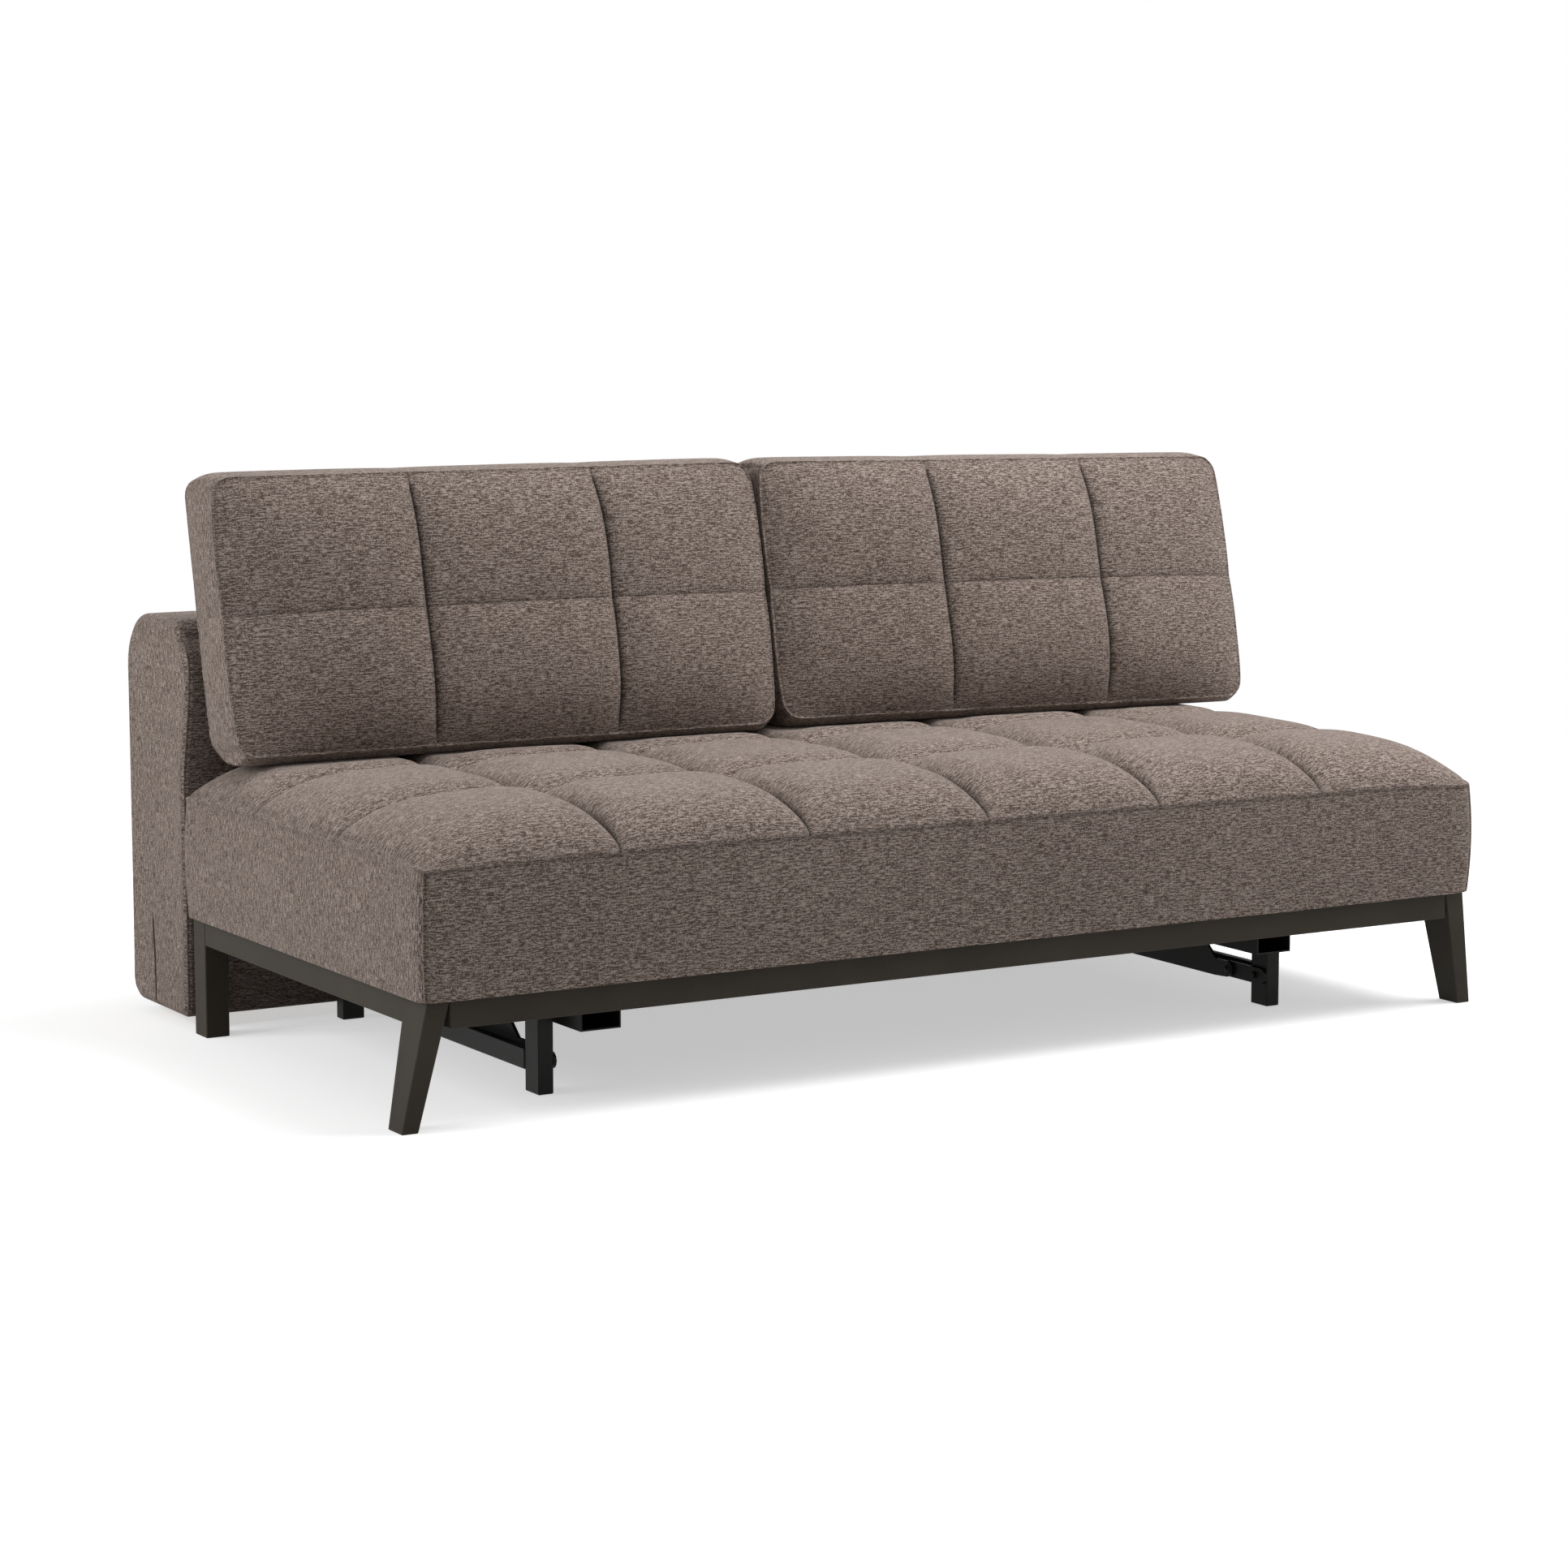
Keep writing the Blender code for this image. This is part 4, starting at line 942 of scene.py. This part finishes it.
def back_place(a, b, c):
    """The shaping rule of the back box."""
    x = (2 * bunched(a, BACK_END_BUNCHING) - 1) * back_half
    rise = (2 * bunched(b, BACK_SIDE_BUNCHING) - 1) * back_half_z
    run = (1 - 2 * bunched(c, BACK_SIDE_BUNCHING)) * back_half_y
    radius = BACK_CORNERS[(int(c > 0.5), int(b > 0.5))]
    run, rise = round_plan(run, rise, back_half_y, back_half_z, radius)
    near_front = c ** 3
    softness = BACK_END_SOFTNESS + (BACK_SEAM_SOFTNESS - BACK_END_SOFTNESS) * near_front
    turn = max(0.0, 1 - (back_half - abs(x)) / softness)
    if turn > 0.0:
        angle = turn * math.pi / 2
        x = math.copysign(back_half - softness + softness * math.sin(angle), x)
        inward = softness * (1 - math.cos(angle))
        run *= 1 - inward / back_half_y
        rise *= 1 - inward / back_half_z
    level = fade(rise, -back_half_z, back_half_z, 4)
    on_end = abs(abs(2 * a - 1) - 1) < TINY
    if on_end:
        soft = level * fade(run, -back_half_y, back_half_y, 4)
        x += math.copysign(BACK_END_PILLOW * (soft - 1), x)
    z = back_middle.z + rise
    y = back_middle.y + run
    swell_high = back_high.z - BACK_CORNERS[(FRONT, TOP)]
    if BACK_SWELL_START < z < swell_high:
        share = (swell_high - z) / (swell_high - BACK_SWELL_START)
        y -= BACK_SWELL * math.sin(math.pi * math.sqrt(share)) * c ** 2
    y += BACK_REAR_SWELL * (1 - c) * level * fade(x, -back_half, back_half, 6)
    dark = 0.0
    if c > BACK_SEAM_FROM:
        off_seam = abs(back_half - abs(x))
        y -= seam_ridge(off_seam)
        dark = SEAM_SHADE * seam_shade(off_seam)
    point = Vector((x, y, z))
    swing = unevenness(point, BACK_WAVES)
    point.y += swing
    point.x += BACK_SIDE_WAVE * swing
    return point, dark


back = sewn_block("back_box", BACK_STEPS, back_place, STANDING_LAYOUTS)

# %% [markdown]
# ## Openings in the back box
# The back box has a hollow round its boards, slots underneath that let the swing arms in,
# and a narrow curved slit in each end panel. Each is cut by a solid of its own. A slot or a
# slit is an outline in side view, extruded along the sofa, so both take one helper.

# %% Back openings
SLOT_FRONT_HEIGHT = 0.148
SLOT_REAR_HEIGHT = 0.060
SLOT_BEND = 0.030
SLIT_PATH = ((1.062, 0.000, 0.0022), (1.066, 0.060, 0.0026), (1.071, 0.110, 0.0030),
             (1.077, 0.160, 0.0028), (1.078, 0.182, 0.0010))
SLIT_DEPTH = 0.022
SLIT_PAST = 0.01


def outline_cutter(name, outline, x_range):
    """Extrude an outline of (Y, Z) points along X into a cutter."""
    bm = bmesh.new()
    ring = [bm.verts.new((x_range[0], y, z)) for y, z in outline]
    extrude(bm, [bm.faces.new(ring)], (x_range[1] - x_range[0], 0.0, 0.0))
    bmesh.ops.recalc_face_normals(bm, faces=bm.faces[:])
    return keep_mesh(name, bm, cloth)


def slot_cutter(side_name):
    """A slot that is high at the front and low at the rear, and bends over the tilt pin."""
    bracket_low, bracket_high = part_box("hinge_bracket_" + side_name)
    pin_low, pin_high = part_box("tilt_pin_" + side_name)
    pin_y = (pin_low.y + pin_high.y) / 2
    pin_z = (pin_low.z + pin_high.z) / 2
    front_top = back_low.z + SLOT_FRONT_HEIGHT
    outline = [(back_front - CUT_PAST, back_low.z - CUT_PAST),
               (back_front - CUT_PAST, front_top),
               (back_front + CUT_PAST, front_top - CUT_PAST / 3),
               (pin_y + SLOT_BEND, pin_z + SLOT_BEND),
               (back_high.y + CUT_PAST, back_low.z + SLOT_REAR_HEIGHT),
               (back_high.y + CUT_PAST, back_low.z - CUT_PAST)]
    return outline_cutter("slot_" + side_name, outline, (bracket_low.x, bracket_high.x))


def slit_cutter(side_name):
    """A thin curved slit; its path holds (Y behind the frame's front, Z, half its width)."""
    outline = [(front_of_frame + y - half, z) for y, z, half in SLIT_PATH]
    outline += [(front_of_frame + y + half, z) for y, z, half in reversed(SLIT_PATH)]
    outer = back_half + SLIT_PAST
    x_range = (back_half - SLIT_DEPTH, outer)
    if side_name == "left":
        x_range = (-outer, SLIT_DEPTH - back_half)
    return outline_cutter("slit_" + side_name, outline, x_range)


inner_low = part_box("back_end_board_left")[0]
inner_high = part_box("back_top_board")[1]
hollow_low = (inner_low.x - CLEAR_GAP, inner_low.y - CLEAR_GAP, back_low.z - CUT_PAST)
back_cutters = [box_cutter("back_hollow", hollow_low, inner_high + clear_all_round)]
for side_name in ("left", "right"):
    back_cutters.append(slot_cutter(side_name))
    back_cutters.append(slit_cutter(side_name))
finish_soft(back, back_cutters)
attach(back, "backrest")
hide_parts("back_cover")

# %% [markdown]
# ## Painted and plain metal
# The rails and outer legs carry a dark bronze powder coat, which is slightly pebbled and
# catches the light softly. The sliding frame under the seat is black, with a little more
# gloss. Pins are bright zinc. Each could be a material built by hand, but one rule mixes
# all of these, so that they belong together: two close colours drift over the part, a fine
# grain breaks up the gloss, and a small bump gives the pebbled skin.

# %% Metal
COAT_DRIFT = 9.0
COAT_SPECULAR = 0.15
COAT_DARK_AT = 0.30
COAT_PALE_AT = 0.75
COAT_MIX_SHIFT = -0.45
COAT_GLOSS_MIDDLE = 0.17


def coat(name, colour, other, roughness, metallic, grain, relief):
    """A coated or plated metal, with its grain to the metre and its skin's height."""
    material, tree, shader = new_material(name)
    place = object_place(tree)
    drift = noise_at(tree, place, Scale=COAT_DRIFT, Detail=4.0)
    fine = noise_at(tree, place, Scale=grain, Detail=2.0)
    mix = weighted(tree, ((drift, 1.4), (fine, 0.5)), shift=COAT_MIX_SHIFT)
    tint = colour_steps(tree, mix, ((COAT_DARK_AT, (*colour, 1.0)), (COAT_PALE_AT, (*other, 1.0))))
    gloss = weighted(tree, ((fine, 0.22), (drift, 0.12)), shift=roughness - COAT_GLOSS_MIDDLE)
    tree.links.new(tint, shader.inputs["Base Color"])
    tree.links.new(gloss, shader.inputs["Roughness"])
    set_values(shader, Metallic=metallic, Specular_IOR_Level=COAT_SPECULAR)
    add_bump(tree, shader, fine, strength=0.5, relief=relief)
    return material


bronze = coat("bronze_coat", (0.032, 0.0265, 0.0190), (0.044, 0.0370, 0.0270), roughness=0.62,
              metallic=0.0, grain=900.0, relief=0.0004)
black = coat("black_coat", (0.010, 0.010, 0.009), (0.018, 0.017, 0.016), roughness=0.42,
             metallic=0.2, grain=700.0, relief=0.0003)
zinc = coat("zinc_plate", (0.42, 0.42, 0.41), (0.55, 0.55, 0.53), roughness=0.33,
            metallic=1.0, grain=500.0, relief=0.0002)
print("metals:", bronze.name, black.name, zinc.name)

# %% [markdown]
# ## Wood, webbing, foam and dust cloth
# Inside the upholstery are beech and plywood boards, a net of black webbing and a block of
# foam. A picture of wood or a plain colour would do from afar. One rule with noise serves
# all of them: stretched long for wood grain, and fine and even for the others.

# %% Inner materials
FIGURE_RELIEF = 0.0006
FIGURE_DARK_AT = 0.35
FIGURE_PALE_AT = 0.65


def grained(name, dark, pale, roughness, scale, stretch=(1.0, 1.0, 1.0)):
    """A material whose pattern is squeezed by (x, y, z), so wood grain runs along X."""
    material, tree, shader = new_material(name)
    figure = noise_at(tree, object_place(tree), stretch, Scale=scale, Detail=6.0, Distortion=0.6)
    tint = colour_steps(tree, figure, ((FIGURE_DARK_AT, (*dark, 1.0)),
                                       (FIGURE_PALE_AT, (*pale, 1.0))))
    tree.links.new(tint, shader.inputs["Base Color"])
    set_values(shader, Roughness=roughness)
    add_bump(tree, shader, figure, strength=0.4, relief=FIGURE_RELIEF)
    return material


beech = grained("beech_wood", (0.42, 0.26, 0.14), (0.58, 0.40, 0.24), roughness=0.55, scale=20.0,
                stretch=(1.0, 9.0, 9.0))
plywood = grained("plywood", (0.48, 0.34, 0.20), (0.64, 0.50, 0.33), roughness=0.60, scale=26.0,
                  stretch=(1.0, 7.0, 30.0))
webbing = grained("webbing", (0.012, 0.012, 0.012), (0.050, 0.048, 0.046), roughness=0.85,
                  scale=300.0)
foam = grained("foam", (0.62, 0.56, 0.38), (0.78, 0.72, 0.52), roughness=0.95, scale=420.0)
dust = grained("dust_cloth", (0.006, 0.006, 0.006), (0.020, 0.020, 0.020), roughness=0.95,
               scale=240.0)
print("inner materials:", beech.name, plywood.name, webbing.name, foam.name, dust.name)

# %% [markdown]
# ## A finish for every solid
# The solids are named for what they are, so the start of a name is enough to choose the
# finish. A list of names under each finish is easier to check than a choice made solid by
# solid.

# %% Finishes
finishes = {
    bronze: ("front_rail", "rear_rail", "side_rail_", "front_leg_", "rear_leg_"),
    black: ("mid_leg_", "bearer_", "slide_tube_", "hinge_bar_", "stretcher_", "link_",
            "swing_arm_", "hinge_bracket_", "bed_leg_tube_", "bed_leg_crossbar",
            "bed_leg_bracket_"),
    zinc: ("fold_pin_", "tilt_pin_", "bed_leg_pin_"),
    beech: ("seat_board_", "back_base_board_", "back_top_board", "back_end_board_"),
    plywood: ("seat_base_board", "back_front_panel", "back_rear_panel"),
    webbing: ("seat_webbing",),
    foam: ("seat_foam",),
    dust: ("dust_cloth",),
}
painted = 0
for finish, starts in finishes.items():
    for node_name, item in frame["nodes"].items():
        if node_name.startswith(starts):
            for material_slot in item.material_slots:
                material_slot.material = finish
            painted += 1
print("solids given a finish:", painted)

# %% [markdown]
# ## Topstitching
# Below the seam that joins the seat's top to its bands runs a row of topstitches, which
# holds the folded edges down. A sewing machine leaves a short dash of thread, a gap, and
# the next dash. They could be drawn in the cloth's material, but a real dash catches light
# on its edge. So each one is a small rounded grain, and a ray shot at the finished band
# finds the place where it lies.

# %% Thread
THREAD_DARK = (0.13, 0.098, 0.082, 1.0)
THREAD_PALE = (0.26, 0.205, 0.172, 1.0)
THREAD_TWIST = 1400.0


def thread_material():
    material, tree, shader = new_material("sewing_thread")
    twist = noise_at(tree, object_place(tree), Scale=THREAD_TWIST, Detail=1.0)
    tint = colour_steps(tree, twist, ((0.3, THREAD_DARK), (0.7, THREAD_PALE)))
    tree.links.new(tint, shader.inputs["Base Color"])
    set_values(shader, Roughness=0.7)
    return material


thread = thread_material()
print("thread colours from", THREAD_DARK[:3], "to", THREAD_PALE[:3])

# %% Rows of stitches
STITCH_PITCH = 0.0056
STITCH_LENGTH = 0.0040
STITCH_THICKNESS = 0.0011
STITCH_REACH = 0.05


def stitch_row(surface, start, end, towards):
    """A mesh of stitches between two points, each dropped onto the surface in one direction."""
    run = end - start
    count = int(run.length / STITCH_PITCH)
    across = run.cross(towards).normalized()
    turn = Matrix((run.normalized(), across, -towards)).transposed().to_4x4()
    size = Matrix.Diagonal((STITCH_LENGTH, STITCH_THICKNESS, STITCH_THICKNESS, 1.0))
    bm = bmesh.new()
    for index in range(count):
        begin = start + run * (index / count) - towards * STITCH_REACH
        found = surface.ray_cast(begin, towards, 2 * STITCH_REACH)[0]
        if found is not None:
            bmesh.ops.create_uvsphere(bm, u_segments=6, v_segments=4, radius=0.5,
                                      matrix=Matrix.Translation(found) @ turn @ size)
    mesh = bpy.data.meshes.new("stitch_row")
    bm.to_mesh(mesh)
    bm.free()
    return mesh


seat_bm = bmesh.new()
seat_bm.from_mesh(seat.data)
seat_surface = BVHTree.FromBMesh(seat_bm)
seat_bm.free()
print("a metre of seam takes", int(1.0 / STITCH_PITCH), "stitches")

# %% Topstitching
STITCH_BELOW_SEAM = 0.0090
STITCH_CLEAR = 0.034
FRONT_SPANS = 16
END_SPANS = 8


def seam_point(x, y):
    return Vector((x, y, seat_seam_height(x, y) - STITCH_BELOW_SEAM))


front_xs = even_breaks(seat_low.x + STITCH_CLEAR, seat_high.x - STITCH_CLEAR, FRONT_SPANS)
end_ys = even_breaks(seat_low.y + STITCH_CLEAR, seat_high.y - STITCH_CLEAR, END_SPANS)
rows = [(seam_point(x, seat_low.y), seam_point(next_x, seat_low.y), Vector((0.0, 1.0, 0.0)))
        for x, next_x in zip(front_xs, front_xs[1:])]
for x, inward in ((seat_low.x, 1.0), (seat_high.x, -1.0)):
    rows += [(seam_point(x, y), seam_point(x, next_y), Vector((inward, 0.0, 0.0)))
             for y, next_y in zip(end_ys, end_ys[1:])]
stitch_bm = bmesh.new()
for start, end, towards in rows:
    row_mesh = stitch_row(seat_surface, start, end, towards)
    stitch_bm.from_mesh(row_mesh)
    bpy.data.meshes.remove(row_mesh)
for face in stitch_bm.faces:
    face.smooth = True
stitches = keep_mesh("seat_topstitching", stitch_bm, thread)
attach(stitches, "seat_unit")
print("topstitching has", len(stitches.data.polygons), "faces")

# %% [markdown]
# ## Rivets, bolts and screws
# A domed rivet with a washer holds the link plate at its nose, and a short bracket beside
# it carries a bolt. More rivets hold the plate's other end, and the folding hoop's brackets
# are screwed to the back. A rivet and a screw head are turned shapes, and a spun outline
# gives dome and rim in one go, where a cylinder would need bevels. The bolt head has six
# sides, so it is a cone with two equal ends, bevelled, on a washer made the same way.

# %% Heads
HEAD_SINK = 0.0004
RIVET_PROFILE = ((0.0, 0.0036), (0.0026, 0.0033), (0.0049, 0.0022), (0.0060, 0.0012),
                 (0.0088, 0.0012), (0.0090, 0.0002), (0.0090, -HEAD_SINK))
SCREW_PROFILE = ((0.0, 0.0013), (0.0022, 0.0012), (0.0034, 0.0006), (0.0036, -HEAD_SINK))
HEAD_REACH = 0.02
TURNED_STEPS = 24
HEX_SIDES = 6
HEX_RADIUS = 0.0062
HEX_HEIGHT = 0.0042
HEX_EDGE = 0.0004
WASHER_RADIUS = 1.35 * HEX_RADIUS
WASHER_HEIGHT = 0.0012
WASHER_OVERLAP = 0.0002
MERGE_DISTANCE = 0.00001


def turned_head(bm, profile, place, axis):
    """Spin an outline of (radius, height) round an axis that leaves a surface at a place."""
    side = axis.orthogonal().normalized()
    ring = [bm.verts.new(place + side * radius + axis * height) for radius, height in profile]
    edges = [bm.edges.new(pair) for pair in zip(ring, ring[1:])]
    bmesh.ops.spin(bm, geom=ring + edges, cent=place, axis=axis, angle=2 * math.pi,
                   steps=TURNED_STEPS, use_merge=True)
    rim = [edge for edge in bm.edges if edge.is_boundary
           and all((vertex.co - place).length < HEAD_REACH for vertex in edge.verts)]
    bmesh.ops.contextual_create(bm, geom=rim)


def hex_head(bm, place, axis):
    """A six-sided bolt head with a round washer under it."""
    turn = axis.to_track_quat("Z", "Y").to_matrix().to_4x4()
    for radius, height, low, sides in (
            (WASHER_RADIUS, WASHER_HEIGHT, -HEAD_SINK, TURNED_STEPS),
            (HEX_RADIUS, HEX_HEIGHT, WASHER_HEIGHT - WASHER_OVERLAP, HEX_SIDES)):
        middle = place + axis * (low + height / 2)
        made = bmesh.ops.create_cone(bm, cap_ends=True, segments=sides, radius1=radius,
                                     radius2=radius, depth=height,
                                     matrix=Matrix.Translation(middle) @ turn)["verts"]
        edges = [edge for edge in bm.edges if edge.verts[0] in made]
        bmesh.ops.bevel(bm, geom=edges, offset=HEX_EDGE, affect="EDGES", segments=2,
                        profile=0.5, material=-1)


def finish_heads(name, bm, material, body):
    """Keep some heads as one piece that rides on a body."""
    bmesh.ops.remove_doubles(bm, verts=bm.verts[:], dist=MERGE_DISTANCE)
    bmesh.ops.recalc_face_normals(bm, faces=bm.faces[:])
    item = keep_mesh(name, bm, material)
    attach(item, body)
    print(name, "has", len(item.data.polygons), "faces")


print("a rivet's washer is", 2000 * max(RIVET_PROFILE)[0], "mm across")

# %% Fasteners
NOSE_RIVET_IN = 0.014
REAR_RIVET_IN = 0.022
REAR_RIVET_EDGE = 0.018
BOLT_IN = 0.030
HOOP_PLATE = 0.0025
SCREW_EDGE = 0.007


def link_heads(side_name, inward):
    """The rivets of a link plate and the bolt of its bracket, on their inner faces."""
    axis = Vector((inward, 0.0, 0.0))
    plate_low, plate_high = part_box("link_plate_" + side_name)
    bracket_low, bracket_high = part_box("link_bracket_" + side_name)
    plate_face = plate_high.x if inward > 0 else plate_low.x
    bracket_face = bracket_high.x if inward > 0 else bracket_low.x
    nose_z = (bracket_low.z + bracket_high.z) / 2
    rivet_y = plate_high.y - REAR_RIVET_IN
    rivets = bmesh.new()
    turned_head(rivets, RIVET_PROFILE,
                Vector((plate_face, plate_low.y + NOSE_RIVET_IN, nose_z)), axis)
    for z in (plate_low.z + REAR_RIVET_EDGE, plate_high.z - REAR_RIVET_EDGE):
        turned_head(rivets, RIVET_PROFILE, Vector((plate_face, rivet_y, z)), axis)
    finish_heads("link_rivets_" + side_name, rivets, black, "seat_unit")
    bolt = bmesh.new()
    hex_head(bolt, Vector((bracket_face, bracket_low.y + BOLT_IN, nose_z)), axis)
    finish_heads("link_bolt_" + side_name, bolt, black, "seat_unit")


def hoop_screws(side_name):
    """The two screws that hold one bracket of the folding hoop to the back."""
    holder_low, holder_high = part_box("bed_leg_bracket_" + side_name)
    middle_x = (holder_low.x + holder_high.x) / 2
    screws = bmesh.new()
    for z in (holder_low.z + SCREW_EDGE, holder_high.z - SCREW_EDGE):
        turned_head(screws, SCREW_PROFILE, Vector((middle_x, holder_low.y + HOOP_PLATE, z)),
                    Vector((0.0, 1.0, 0.0)))
    finish_heads("bed_leg_screws_" + side_name, screws, zinc, "backrest")


for side_name, inward in (("left", 1.0), ("right", -1.0)):
    link_heads(side_name, inward)
    hoop_screws(side_name)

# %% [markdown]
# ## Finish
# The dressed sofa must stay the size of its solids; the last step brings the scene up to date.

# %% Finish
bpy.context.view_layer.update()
